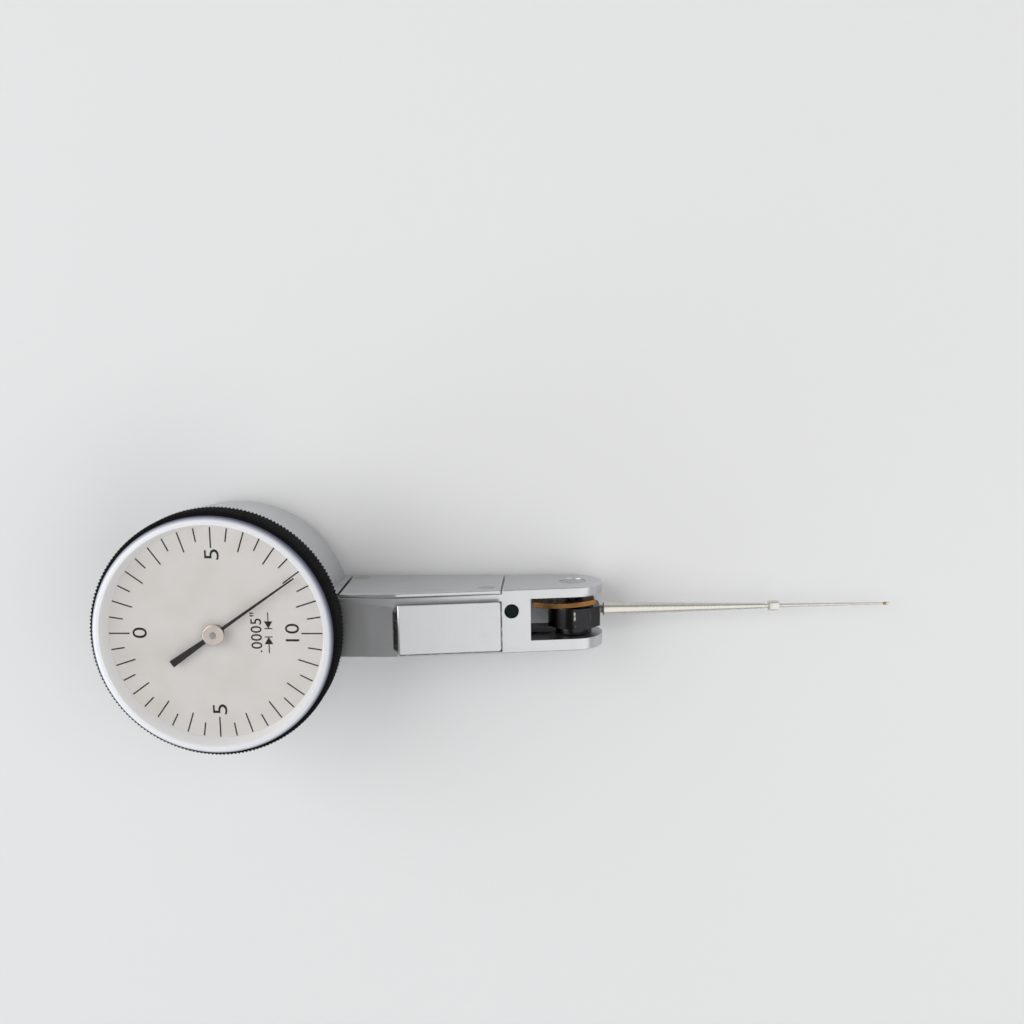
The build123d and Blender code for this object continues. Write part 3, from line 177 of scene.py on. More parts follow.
def edge_wear():
    """A colour that changes to the worn one along the edges, where the finish is rubbed."""
    tree, given, put = new_group(
        "edge_wear",
        [("Vector", "Vector"), ("Edge", "Float"), ("Colour", "Color"), ("Worn", "Color"),
         ("Amount", "Float")],
        [("Colour", "Color")],
    )
    wear_and_highlight = ramp(tree, noise(tree, given["Vector"], WEAR_SCALE, Detail=4), *WEAR_SHOWN)
    share = maths(tree, "MULTIPLY", wear_and_highlight, given["Amount"])
    mask = maths(tree, "MULTIPLY", share, given["Edge"])
    tree.links.new(blend(tree, mask, given["Colour"], given["Worn"]), put["Colour"])
    return tree


def fine_scratches():
    """Hairline scratches in two directions that the light catches, as a mask."""
    tree, given, put = new_group(
        "fine_scratches", [("Vector", "Vector"), ("Scale", "Float"), ("Amount", "Float")],
        [("Mask", "Float")],
    )
    marks = []
    for turn, squeeze, clean in SCRATCH_RUNS:
        mapped = add_node(tree, "Mapping", {
            "Vector": given["Vector"], "Rotation": (0, 0, math.radians(turn)),
            "Scale": (squeeze, 1, 1),
        }).outputs[0]
        lines = noise(tree, mapped, given["Scale"], Detail=1, Distortion=0.3)
        marks.append(ramp(tree, lines, clean, clean + SCRATCH_SOFT))
    both = maths(tree, "MAXIMUM", *marks)
    tree.links.new(maths(tree, "MULTIPLY", both, given["Amount"]), put["Mask"])
    return tree


def painted_rail_shade():
    """Painted shade around the foot of the front rail, and a painted dark reflection higher on the ramp at its
    end.
    """
    tree, given, put = new_group("painted_rail_shade", [("Vector", "Vector")], [("Mask", "Float")])
    local = add_node(tree, "Mapping", {
        "Vector": given["Vector"], "Location": [c * MM for c in RAIL_CENTRE],
        "Rotation": (0, math.radians(FRONT_SLOPE), 0),
    }, vector_type="TEXTURE").outputs[0]
    along, across, up = add_node(tree, "SeparateXYZ", {0: local}).outputs
    flat = add_node(tree, "CombineXYZ", {0: along, 1: across}).outputs[0]
    half = [h * MM for h in RAIL_HALF] + [0]
    beyond = vector_maths(tree, "SUBTRACT", vector_maths(tree, "ABSOLUTE", flat), half)
    outside = vector_length(tree, vector_maths(tree, "MAXIMUM", beyond, (0, 0, 0)))
    start, end = (reach * MM for reach in RAIL_SHADE_REACH)
    near = ramp(tree, outside, start, end, 1, 0)
    on_ramp, off_ramp = RAMP_END * MM, (RAMP_END + RAMP_DROP) * MM
    high, low = (height * MM for height in RAIL_SHADE_HEIGHT)
    top = ramp(tree, along, on_ramp, off_ramp, high, low)
    under = ramp(tree, maths(tree, "SUBTRACT", top, up), 0, RAIL_SHADE_SOFT * MM)
    past_ramp = ramp(tree, along, on_ramp, (RAMP_END + RAMP_SOFT[0]) * MM)
    side = maths(tree, "ABSOLUTE", across)
    middle = ramp(tree, side, RAMP_HALF * MM, (RAMP_HALF + RAMP_SOFT[1]) * MM, 1, 0)
    wide = maths(tree, "MAXIMUM", past_ramp, middle)
    bottom, foot = (height * MM for height in RAIL_SHADE_FLOOR)
    above = ramp(tree, up, bottom, foot)
    uneven = ramp(tree, noise(tree, given["Vector"], RAIL_SHADE_PATCHES), *RAIL_SHADE_SHOWN, RAIL_SHADE_THIN, 1)
    mask = near
    for share in (under, above, wide, uneven):
        mask = maths(tree, "MULTIPLY", mask, share)
    tree.links.new(mask, put["Mask"])
    return tree


def painted_highlight_line():
    """Adds a painted highlight line along Y, through the centre, to the edges that are worn."""
    tree, given, put = new_group(
        "painted_highlight_line", [("Vector", "Vector"), ("Centre", "Vector"), ("Edge", "Float")],
        [("Edge", "Float")],
    )
    away = vector_maths(tree, "SUBTRACT", given["Vector"], given["Centre"])
    reach = vector_length(tree, vector_maths(tree, "MULTIPLY", away, (1, 0, 1)))
    start, end = (distance * MM for distance in HIGHLIGHT_LINE_REACH)
    near = ramp(tree, reach, start, end, 1, 0)
    tree.links.new(maths(tree, "MAXIMUM", near, given["Edge"]), put["Edge"])
    return tree


GRAIN, WEAR, SCRATCHES = metal_grain(), edge_wear(), fine_scratches()
RAIL_SHADE_GROUP, HIGHLIGHT_LINE_GROUP = painted_rail_shade(), painted_highlight_line()


def new_material(name, metallic, **sockets):
    """A material whose Principled BSDF has these plain sockets, its tree and its shader."""
    made = bpy.data.materials.new(name)
    made.use_nodes = True
    shader = made.node_tree.nodes["Principled BSDF"]
    shader.inputs["Metallic"].default_value = metallic
    for key, value in sockets.items():
        shader.inputs[key.replace("_", " ")].default_value = value
    return made, made.node_tree, shader


def place_group(tree, group, sockets):
    """The outputs of a shader group in a material, each named input set or linked."""
    return add_node(tree, "Group", sockets, node_tree=group).outputs


def grained(
    name, metallic, colour, scale, roughness, spread=0.05, rough_spread=0.15, depth=0.0005,
    stretch=(1, 1, 1), worn=None, wear=0.0, wear_and_highlight=None, scratched=0.0, aged=None,
    rail_shade=False, **sockets
):
    """A material of grained metal, paint or plastic, worn along its edges if worn is given."""
    made, tree, shader = new_material(name, metallic, **sockets)
    place = add_node(tree, "TexCoord").outputs["Object"]
    mapped = add_node(tree, "Mapping", {"Vector": place, "Scale": stretch}).outputs[0]
    colour = (*colour, 1)
    if aged:
        stains = ramp(tree, noise(tree, place, STAIN_SCALE, Detail=4), *STAIN_SHOWN)
        colour = blend(tree, stains, colour, (*aged, 1))
    if worn:
        edge = add_node(tree, "Attribute", attribute_name="edge").outputs["Fac"]
        # A line painted as a highlight, which joins the worn edges.
        if wear_and_highlight:
            edge = place_group(tree, HIGHLIGHT_LINE_GROUP, {
                "Vector": place, "Centre": (wear_and_highlight[0] * MM, 0, wear_and_highlight[1] * MM), "Edge": edge,
            })["Edge"]
        colour = place_group(tree, WEAR, {
            "Vector": place, "Edge": edge, "Colour": colour, "Worn": (*worn, 1), "Amount": wear,
        })["Colour"]
    grain = place_group(tree, GRAIN, {
        "Vector": mapped, "Scale": scale, "Colour": colour, "Spread": spread,
        "Roughness": roughness, "Rough Spread": rough_spread, "Depth": depth * MM,
    })
    colour, rough = grain["Colour"], grain["Roughness"]
    # Painted shade around the foot of the front rail, and a painted dark reflection on its ramp.
    if rail_shade:
        rail_darkening = place_group(tree, RAIL_SHADE_GROUP, {"Vector": place})["Mask"]
        colour = blend(tree, rail_darkening, colour, (*RAIL_SHADE_COLOUR, 1))
    if scratched:
        marks = place_group(tree, SCRATCHES, {
            "Vector": place, "Scale": SCRATCH_SCALE, "Amount": scratched,
        })["Mask"]
        rough = maths(tree, "ADD", rough, marks)
    tree.links.new(colour, shader.inputs["Base Color"])
    tree.links.new(rough, shader.inputs["Roughness"])
    tree.links.new(grain["Normal"], shader.inputs["Normal"])
    return made


def bevel_edges(bm, edges, width, segments):
    """Bevel the edges by a width in millimetres, and give what was made."""
    return bmesh.ops.bevel(
        bm, geom=edges, offset=width * MM, offset_type="OFFSET", segments=segments,
        profile=0.5, affect="EDGES", material=-1, clamp_overlap=False,
    )


def open_joint(bm):
    """Chamfer the long edges at the joint between the body and the side cover."""
    seam = [
        edge for edge in bm.edges
        if edge.calc_length() > SEAM_LENGTH * MM and len(edge.link_faces) == 2
        and all(abs(vert.co.y - JOINT_Y * MM) < MERGE * MM for vert in edge.verts)
        and edge.calc_face_angle(0) > math.radians(SEAM_TURN) and edge.is_convex
        and max(face.normal.z for face in edge.link_faces) > SEAM_LEVEL
    ]
    bevel_edges(bm, seam, JOINT_BEVEL, 1)


def round_edges(bm, width, turn):
    """Round the edges that turn by more than turn degrees, and mark them for wear."""
    bm.normal_update()
    sharp = [
        edge for edge in bm.edges
        if len(edge.link_faces) == 2 and edge.calc_face_angle(0) > math.radians(turn)
    ]
    layer = bm.verts.layers.float.new("edge")
    made = bevel_edges(bm, sharp, width, 2)
    rounded = set(made["faces"])
    for vert in made["verts"]:
        if vert.is_valid and all(face in rounded for face in vert.link_faces):
            vert[layer] = 1


def dressed(node, width, turn=SHARP_TURN, joint=False):
    """A merged copy of a CAD node's mesh with its sharp edges rounded, in a bmesh."""
    bm = bmesh.new()
    bm.from_mesh(frame["nodes"][node].data)
    bmesh.ops.remove_doubles(bm, verts=bm.verts, dist=MERGE * MM)
    bmesh.ops.dissolve_limit(
        bm, angle_limit=math.radians(FLAT_TURN), verts=bm.verts, edges=bm.edges,
    )
    bm.normal_update()
    if joint:
        open_joint(bm)
    round_edges(bm, width, turn)
    return bm


def crease(bm, level):
    """Smooth faces with hard lines at sharp turns, and at low ridges between level faces."""
    bm.normal_update()
    for face in bm.faces:
        face.smooth = True
    for edge in bm.edges:
        turn = math.degrees(edge.calc_face_angle(0)) if len(edge.link_faces) == 2 else 0
        flat = min((face.normal.z for face in edge.link_faces), default=0) > LEVEL
        edge.smooth = turn < CREASE_TURN and not (level and flat and turn > LEVEL_CREASE_TURN)


def keep(name, bm, material, body, nodes=()):
    """Make the bmesh a piece that rides on a body and stands for the nodes."""
    crease(bm, level=name in LEVEL_PIECES)
    mesh = bpy.data.meshes.new(name)
    bm.to_mesh(mesh)
    bm.free()
    if "custom_normal" in mesh.attributes:
        mesh.attributes.remove(mesh.attributes["custom_normal"])
    for finish in material if isinstance(material, tuple) else (material,):
        mesh.materials.append(finish)
    made = bpy.data.objects.new(name, mesh)
    bpy.context.scene.collection.objects.link(made)
    weighted = made.modifiers.new("even_faces", "WEIGHTED_NORMAL")
    weighted.keep_sharp = True
    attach(made, body)
    if nodes:
        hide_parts(*nodes)


# The chrome is painted darker around the foot of the front rail, as shade, and on the rail's ramp, as a dark
# reflection.
satin_chrome = grained(
    "satin_chrome", metallic=1.0, colour=CHROME, scale=8200, roughness=0.3, spread=0.12,
    rough_spread=0.07, depth=0.0009, stretch=(1, 0.25, 1), worn=CHROME_WORN, wear=0.6,
    scratched=0.04, rail_shade=True,
)
keep("body_shell", dressed("body", BODY_EDGE, joint=True), satin_chrome, "case",
     ["body"])

# Side cover. A chromed plate of the bar's outline that closes the pocket of the
# sector. Two slotted steel screws hold it, with their heads sunk in the plate.
COVER_EDGE = 0.04
SCREW_EDGE = 0.03
STEEL = (0.5, 0.495, 0.48)
STEEL_WORN = (0.6, 0.59, 0.57)
steel = grained(
    "turned_steel", metallic=1.0, colour=STEEL, scale=6000, roughness=0.38, spread=0.12,
    rough_spread=0.1, depth=0.0006, worn=STEEL_WORN, wear=0.5, scratched=0.1,
)
keep("side_plate", dressed("side_cover", COVER_EDGE, joint=True), satin_chrome, "case",
     ["side_cover"])
keep("side_screws", dressed("cover_screws", SCREW_EDGE), steel, "case", ["cover_screws"])

# Movement. Brass plates, bridge, cock, sector and crown wheel, steel arbors and
# screws, a bronze hairspring and red jewels. They sit closed in the case.
BRASS = (0.7, 0.52, 0.25)
BRONZE = (0.27, 0.13, 0.047)
BRONZE_WORN = (0.42, 0.25, 0.12)
BRONZE_AGED = (0.06, 0.032, 0.015)
JEWEL = (0.42, 0.01, 0.04)
brass = grained(
    "lapped_brass", metallic=1.0, colour=BRASS, scale=3500, roughness=0.28, spread=0.14,
    depth=0.0008, stretch=(1, 0.3, 1),
)
bronze = grained(
    "spring_bronze", metallic=1.0, colour=BRONZE, scale=3000, roughness=0.3, spread=0.7,
    rough_spread=0.2, depth=0.0006, stretch=(1, 1, 0.12), worn=BRONZE_WORN, wear=0.7,
    aged=BRONZE_AGED,
)
ruby = grained(
    "jewel_red", metallic=0.0, colour=JEWEL, scale=1500, roughness=0.06, spread=0.2,
    rough_spread=0.04, depth=0.0001,
)
MOVEMENT = {
    "movement_plate": brass, "movement_bridge": brass, "sector_cock": brass, "sector": brass,
    "crown_wheel": brass, "hairspring_collet": brass, "hairspring_stud": brass,
    "plate_screws": steel, "bridge_screws": steel, "cock_screws": steel, "centre_pinion": steel,
    "crown_pinion": steel, "sector_arbor": steel, "reversing_pins": steel, "bezel_spring": steel,
    "hairspring": bronze, "jewels": ruby,
}


def finish_node(node, material):
    """Give a CAD node that stays its finish."""
    for index in range(len(frame["nodes"][node].material_slots)):
        frame["nodes"][node].material_slots[index].material = material


for node, material in MOVEMENT.items():
    finish_node(node, material)

# Bezel. A steel ring with straight knurling, blackened, that turns on the case.
# The tips of the knurls are rubbed where fingers turn it.
BLACK = (0.006, 0.006, 0.0065)
BLACK_WORN = (0.025, 0.024, 0.022)
BEZEL_EDGE = 0.025
BEZEL_TURN = 33
black_oxide = grained(
    "black_oxide", metallic=0.0, colour=BLACK, scale=5000, roughness=0.65, spread=0.35,
    rough_spread=0.2, depth=0.0012, worn=BLACK_WORN, wear=0.4, Specular_IOR_Level=0.04,
)
keep("knurled_bezel", dressed("bezel", BEZEL_EDGE, turn=BEZEL_TURN), black_oxide, "bezel_ring",
     ["bezel"])

# Dial. A disc with a baked off-white coat, which the bezel carries, and a pale
# sloping ring around it that holds it down.
DIAL_WHITE = (0.735, 0.722, 0.715)
DIAL_AGED = (0.675, 0.655, 0.643)
RING_GREY = (0.8, 0.805, 0.82)
RING_WORN = (0.8, 0.8, 0.8)
DIAL_EDGE = 0.02
enamel = grained(
    "dial_enamel", metallic=0.0, colour=DIAL_WHITE, scale=3800, roughness=0.5, spread=0.035,
    rough_spread=0.1, depth=0.0008, aged=DIAL_AGED,
)
ring_paint = grained(
    "ring_paint", metallic=0.0, colour=RING_GREY, scale=3000, roughness=0.45, spread=0.05,
    rough_spread=0.1, depth=0.0006, worn=RING_WORN, wear=0.3,
)
keep("dial_disc", dressed("dial_face", DIAL_EDGE), enamel, "bezel_ring",
     ["dial_face"])
keep("sloping_ring", dressed("dial_ring", DIAL_EDGE), ring_paint, "bezel_ring",
     ["dial_ring"])

# Dial print. Forty black ticks, every second one long, the numbers 0-5-10-5, the
# value of one division and two arrows. The ink stands a few microns proud.
DIAL_Z = 13.388
INK = 0.012
INK_BLACK = (0.008, 0.0075, 0.007)
INK_MIDDLE = (DIAL_Z + INK / 2) * MM
PRINT_TURN = -0.13
PRINT_MERGE = 0.0005
CAP_HEIGHT = 0.73
TICK_COUNT = 40
TICK_OUTER = 11.93
TICK_INNER = (9.6, 10.4)
TICK_WIDTH = 0.15
NUMBERS = (
    ("0", 1.66, 1.2, 1, -8.38, 0.06), ("5", 1.7, 1.28, 1, 0.14, 8.9),
    ("10", 1.6, 1.15, 1.05, 8.67, -0.11), ("5", 1.7, 1.28, 1, 0.17, -8.71),
)
VALUE = ('.0005"', 1.25, 1, 1.06, 4.65, 0.12)
VALUE_BOLDNESS = 0.007
ARROW_X = 5.95
ARROW_Y = 0.08
ARROW_BAR = (0.475, 0.875, 0.11)
ARROW_HEAD = (1.02, 0.55)
ARROW_SHAFT = (1.2, 2.33, 0.11)
dial_ink = grained(
    "dial_ink", metallic=0.0, colour=INK_BLACK, scale=9000, roughness=0.6, spread=0.3,
    depth=0.0006, Specular_IOR_Level=0.2,
)
dial_turn = Matrix.Rotation(math.radians(PRINT_TURN), 4, "Z")


def bar(bm, length, width, place):
    """A thin printed bar along local X, centred on its place, on the dial."""
    bmesh.ops.create_cube(
        bm, size=1,
        matrix=Matrix.Translation((0, 0, INK_MIDDLE)) @ place
        @ Matrix.Diagonal((length * MM, width * MM, INK * MM, 1)),
    )


def lettering(bm, text, height, width, spacing, x, y, boldness=0.0):
    """Printed characters, centred on x and y, that read along +Y."""
    curve = bpy.data.curves.new("lettering", "FONT")
    curve.body = text
    curve.size = height / CAP_HEIGHT
    curve.align_x = curve.align_y = "CENTER"
    curve.extrude = INK / 2
    curve.offset = boldness
    curve.space_character = spacing
    written = bpy.data.objects.new("lettering", curve)
    bpy.context.scene.collection.objects.link(written)
    bpy.context.view_layer.update()
    mesh = bpy.data.meshes.new_from_object(
        written.evaluated_get(bpy.context.evaluated_depsgraph_get())
    )
    mesh.transform(
        dial_turn @ Matrix.Translation((x * MM, y * MM, INK_MIDDLE))
        @ Matrix.Rotation(math.radians(90), 4, "Z") @ Matrix.Diagonal((width * MM, MM, MM, 1))
    )
    bm.from_mesh(mesh)
    bpy.data.objects.remove(written)
    bpy.data.meshes.remove(mesh)


def print_labels(name, labels, boldness=0.0):
    """Keep labels, each given as lettering takes it, as one printed piece of the dial."""
    bm = bmesh.new()
    for label in labels:
        lettering(bm, *label, boldness)
    bmesh.ops.remove_doubles(bm, verts=bm.verts, dist=PRINT_MERGE * MM)
    keep(name, bm, dial_ink, "bezel_ring")


ticks = bmesh.new()
for index in range(TICK_COUNT):
    inner = TICK_INNER[index % 2]
    spoke = Matrix.Rotation(math.radians(360 * index / TICK_COUNT + PRINT_TURN), 4, "Z")
    middle = Matrix.Translation(((inner + TICK_OUTER) / 2 * MM, 0, 0))
    bar(ticks, TICK_OUTER - inner, TICK_WIDTH, spoke @ middle)
keep("dial_ticks", ticks, dial_ink, "bezel_ring")
print_labels("dial_numbers", NUMBERS)
print_labels("division_value", [VALUE], VALUE_BOLDNESS)
arrows = bmesh.new()
centre = dial_turn @ Matrix.Translation((ARROW_X * MM, ARROW_Y * MM, 0))
for side in (-1, 1):
    away, length, width = ARROW_BAR
    bar(arrows, length, width, centre @ Matrix.Translation((0, side * away * MM, 0)))
    start, end, width = ARROW_SHAFT
    middle = Matrix.Translation((0, side * (start + end) / 2 * MM, 0))
    bar(arrows, width, end - start, centre @ middle)
    away, radius = ARROW_HEAD
    bmesh.ops.create_cone(
        arrows, cap_ends=True, segments=3, radius1=radius * MM, radius2=radius * MM,
        depth=INK * MM,
        matrix=centre @ Matrix.Translation((0, side * away * MM, INK_MIDDLE))
        @ Matrix.Rotation(math.radians(0 if side < 0 else 180), 4, "Z"),
    )
keep("division_arrows", arrows, dial_ink, "bezel_ring")

# Pointer. A thin blackened blade with a wide tail that balances it, under a
# turned hub that is pressed on the centre arbor.
POINTER_BLACK = (0.012, 0.009, 0.009)
POINTER_WORN = (0.06, 0.045, 0.04)
POINTER_EDGE = 0.012
BOSS_METAL = (0.76, 0.69, 0.65)
# A darker colour painted on the hub's rounded edges, as shade at its rim.
BOSS_EDGE_SHADE = (0.4, 0.33, 0.3)
BOSS_EDGE = 0.04
pointer_paint = grained(
    "pointer_black", metallic=0.0, colour=POINTER_BLACK, scale=6000, roughness=0.6, spread=0.3,
    depth=0.0006, worn=POINTER_WORN, wear=0.5, Specular_IOR_Level=0.25,
)
# The pointer hub's edges are painted darker in patches, as shade at its rim.
boss_metal = grained(
    "pointer_hub_metal", metallic=1.0, colour=BOSS_METAL, scale=5000, roughness=0.42, spread=0.3,
    depth=0.0012, worn=BOSS_EDGE_SHADE, wear=0.7,
)
keep("pointer_blade", dressed("pointer", POINTER_EDGE), pointer_paint, "pointer_arbor",
     ["pointer"])
keep("pointer_boss", dressed("pointer_hub", BOSS_EDGE), boss_metal, "pointer_arbor",
     ["pointer_hub"])

# Crystal. A turned cap of clear acrylic with a polished, rounded shoulder, which
# is pressed into the bezel. Its face is flat. Its thick rim is painted an even white,
# as a painted reflection of the light in its shoulder, and a darker blue at its outer edge.
ACRYLIC_TINT = (1, 0.99, 0.975, 1)
ACRYLIC_PASSED = (0.98, 0.975, 0.965, 1)
RIM_START = 12.5
# Colours of the rim's painted reflection: white, and a darker blue at the outer edge.
RIM_REFLECTION_WHITE = (0.83, 0.84, 0.87)
RIM_OUTER_BLUE = (0.12, 0.135, 0.2)
RIM_FADE = (12.95, 13.3)
ROUNDING_STEPS = 6
TURNED_MERGE = 0.0005
CRYSTAL_STEPS = 160
CRYSTAL_OUTLINE = (
    (0, 15.538, 0), (13.34, 15.538, 0.85), (13.34, 14.148, 0.05), (12.92, 14.148, 0.05),
    (12.92, 14.838, 0.4), (0, 14.838, 0),
)


def turned(outline, steps, place=Matrix.Identity(4)):
    """Spin an outline of (radius, height, rounding) points round local Z, in a bmesh."""
    bm = bmesh.new()
    verts = [bm.verts.new((r * MM, 0, z * MM)) for r, z, _ in outline]
    for first, second in zip(verts, verts[1:]):
        bm.edges.new((first, second))
    for vert, (_, _, rounding) in zip(verts, outline):
        if rounding:
            bmesh.ops.bevel(
                bm, geom=[vert], offset=rounding * MM, offset_type="OFFSET",
                segments=ROUNDING_STEPS, profile=0.5, affect="VERTICES", material=-1,
                clamp_overlap=False,
            )
    bmesh.ops.spin(
        bm, geom=bm.verts[:] + bm.edges[:], axis=(0, 0, 1), cent=(0, 0, 0), dvec=(0, 0, 0),
        angle=2 * math.pi, steps=steps, use_merge=True, use_duplicate=False,
    )
    bmesh.ops.remove_doubles(bm, verts=bm.verts, dist=TURNED_MERGE * MM)
    bmesh.ops.recalc_face_normals(bm, faces=bm.faces)
    bm.transform(place)
    return bm


def let_light_through(tree, shader):
    """Let the light that falls on the dial pass a surface, so that it casts no dark shadow."""
    rays = add_node(tree, "LightPath").outputs
    unlit = maths(tree, "MAXIMUM", rays["Is Shadow Ray"], rays["Is Diffuse Ray"])
    clear = add_node(tree, "BsdfTransparent", {"Color": ACRYLIC_PASSED}).outputs[0]
    either = add_node(tree, "MixShader", {0: unlit, 1: shader.outputs[0], 2: clear}).outputs[0]
    tree.links.new(either, tree.nodes["Material Output"].inputs["Surface"])


acrylic, tree, shader = new_material(
    "clear_acrylic", 0.0, IOR=1.49, Transmission_Weight=1.0, Specular_IOR_Level=0.2,
)
smudge = place_group(tree, GRAIN, {
    "Vector": add_node(tree, "TexCoord").outputs["Object"], "Scale": 2500,
    "Colour": ACRYLIC_TINT, "Spread": 0.02, "Roughness": 0.015, "Rough Spread": 0.03, "Depth": 0,
})
tree.links.new(smudge["Colour"], shader.inputs["Base Color"])
tree.links.new(smudge["Roughness"], shader.inputs["Roughness"])
let_light_through(tree, shader)
# The rim's white is a painted reflection of the light in the shoulder, which turns a darker blue towards the outer
# edge.
rim_painted_reflection = grained(
    "rim_painted_reflection", metallic=0.0, colour=RIM_REFLECTION_WHITE, scale=1600, roughness=0.4, spread=0.08,
    rough_spread=0.1, depth=0.0003, Specular_IOR_Level=0.2,
)
tree = rim_painted_reflection.node_tree
shader = tree.nodes["Principled BSDF"]
across = vector_maths(tree, "MULTIPLY", add_node(tree, "TexCoord").outputs["Object"], (1, 1, 0))
start, end = (radius * MM for radius in RIM_FADE)
outer = ramp(tree, vector_length(tree, across), start, end)
rim_reflection_colour = shader.inputs["Base Color"].links[0].from_socket
tree.links.new(blend(tree, outer, rim_reflection_colour, (*RIM_OUTER_BLUE, 1)), shader.inputs["Base Color"])
let_light_through(tree, shader)
cap = turned(CRYSTAL_OUTLINE, CRYSTAL_STEPS)
for face in cap.faces:
    face.material_index = int(face.calc_center_median().xy.length > RIM_START * MM)
keep("crystal_cap", cap, (acrylic, rim_painted_reflection), "bezel_ring", ["crystal"])

# Adjusting screw and its seal. The screw sets the lever's play, and a spot of dark
# green sealing paint fills its hole and shows that it hasn't been turned.
SEAL_GREEN = (0.006, 0.012, 0.0105)
finish_node("adjusting_screw", steel)
seal_paint = grained(
    "seal_paint", metallic=0.0, colour=SEAL_GREEN, scale=2600, roughness=0.6, spread=1.6,
    rough_spread=0.5, depth=0.03, Specular_IOR_Level=0.12,
)
finish_node("screw_seal", seal_paint)

# Fork. A blackened shaft turns in two bronze bearings behind slotted screws, and
# carries the inner lever, the bowed bronze leaf that gives the drag, and its nut.
DARK_WORN = (0.45, 0.45, 0.44)
DARK_FINISH = {
    "metallic": 1.0, "colour": (0.032, 0.032, 0.034), "scale": 5000, "roughness": 0.24,
    "spread": 0.3, "rough_spread": 0.2, "depth": 0.001, "stretch": (1, 0.08, 1),
}
dark_steel = grained("dark_steel", **DARK_FINISH, worn=DARK_WORN, wear=0.8)
FORK_PIECES = (
    ("ear_screws", "bearing_screws", 0.05, steel, "case", "steel"),
    ("fork_shaft", "pivot_shaft", 0.03, dark_steel, "lever", "dark_steel"),
    ("inner_lever", "lever_arm", 0.04, dark_steel, "lever", "dark_steel"),
    ("drag_spring", "friction_spring", 0.03, bronze, "lever", "bronze"),
    ("drag_nut", "spring_nut", 0.05, dark_steel, "lever", "dark_steel"),
)
for name, node, width, material, body, slot in FORK_PIECES:
    keep(name, dressed(node, width), material, body, [node])
finish_node("pivot_bearings", bronze)

# Hub of the contact point. A thick blackened disc that swivels on the shaft under
# the leaf's pressure, with a faceted nose that the point is screwed into.
HUB_EDGE = 0.06
HUB_TURN = 11.5
# A cream colour painted as a highlight along the edge where the hub's disc meets its facet, and as faint wear on
# its other edges.
HUB_WEAR_AND_HIGHLIGHT = (0.9, 0.87, 0.78)
HUB_WEAR_SHARE = 0.08
HIGHLIGHT_LINE_AT = (39.6, 7.24)
# The hub's finish: dark steel with a painted highlight line.
dark_steel_painted_highlight = grained(
    "dark_steel_painted_highlight", **DARK_FINISH, worn=HUB_WEAR_AND_HIGHLIGHT, wear=1.0, wear_and_highlight=HIGHLIGHT_LINE_AT,
)
hub = dressed("stylus_hub", HUB_EDGE, turn=HUB_TURN)
wear_layer = hub.verts.layers.float["edge"]
for vert in hub.verts:
    vert[wear_layer] *= HUB_WEAR_SHARE
keep("swivel_hub", hub, dark_steel_painted_highlight, "stylus", ["stylus_hub"])

# Contact point. A turned, nickel-plated shank with a fine thread, a collar with two
# flats for a spanner, a slender ground point, and a hard ball brazed to its end.
NICKEL = (0.66, 0.635, 0.585)
NICKEL_WORN = (0.85, 0.83, 0.78)
BALL_METAL = (0.8, 0.79, 0.77)
BRAZE_METAL = (0.42, 0.27, 0.1)
COLLAR_EDGE = 0.04
THREAD_START = 1.3
THREAD_PITCH = 0.22
THREAD_TURNS = 10
THREAD_RADIUS = 0.5
THREAD_DEPTH = 0.05
SHANK_STEPS = 48
SHANK_OUTLINE = (
    (0, THREAD_START, 0),
    *((THREAD_RADIUS - THREAD_DEPTH * (i % 2), THREAD_START + THREAD_PITCH / 2 * i, 0)
      for i in range(2 * THREAD_TURNS)),
    (0.42, 3.49, 0), (0.78, 3.5, 0.09), (0.32, 22.4, 0.05), (0.25, 22.43, 0), (0.25, 22.8, 0),
    (0, 22.8, 0),
)
POINT_STEPS = 32
POINT_OUTLINE = ((0, 23.95, 0), (0.23, 23.95, 0.02), (0.12, 36.64, 0), (0, 36.64, 0))
BRAZE_STEPS = 24
BRAZE_OUTLINE = (
    (0, 36.2, 0), (0.127, 36.2, 0), (0.16, 36.34, 0.05), (0.165, 36.6, 0.05), (0.1, 36.7, 0),
    (0, 36.7, 0),
)
BALL_RADIUS = 0.2
BALL_CENTRE = 36.8
ball_mount = next(m for m in frame["record"]["mounts"] if m["name"] == "contact_ball_tip")
swivel = next(j for j in frame["joints"] if j["name"] == "stylus_swivel")
run = Vector(ball_mount["axis"]).normalized()
side = Vector((0, 1, 0))
stylus_place = Matrix.Translation(
    (swivel["pos_m"][0], ball_mount["pos_m"][1], swivel["pos_m"][2])
) @ Matrix((side.cross(run), side, run)).transposed().to_4x4()
nickel = grained(
    "nickel_plate", metallic=1.0, colour=NICKEL, scale=4200, roughness=0.28, spread=0.1,
    rough_spread=0.06, depth=0.0002, stretch=(6, 1, 1), worn=NICKEL_WORN, wear=0.6,
)
ball_steel = grained(
    "polished_ball", metallic=1.0, colour=BALL_METAL, scale=9000, roughness=0.08, spread=0.05,
    rough_spread=0.04, depth=0.0001,
)
braze = grained(
    "braze", metallic=1.0, colour=BRAZE_METAL, scale=6000, roughness=0.35, spread=0.4,
    rough_spread=0.2, depth=0.001,
)
keep("shank", turned(SHANK_OUTLINE, SHANK_STEPS, stylus_place), nickel, "stylus",
     ["stylus_shank"])
keep("collar", dressed("stylus_collar", COLLAR_EDGE), nickel, "stylus",
     ["stylus_collar"])
keep("slender_point", turned(POINT_OUTLINE, POINT_STEPS, stylus_place), nickel, "stylus",
     ["stylus_point"])
keep("braze_fillet", turned(BRAZE_OUTLINE, BRAZE_STEPS, stylus_place), braze, "stylus")
ball = bmesh.new()
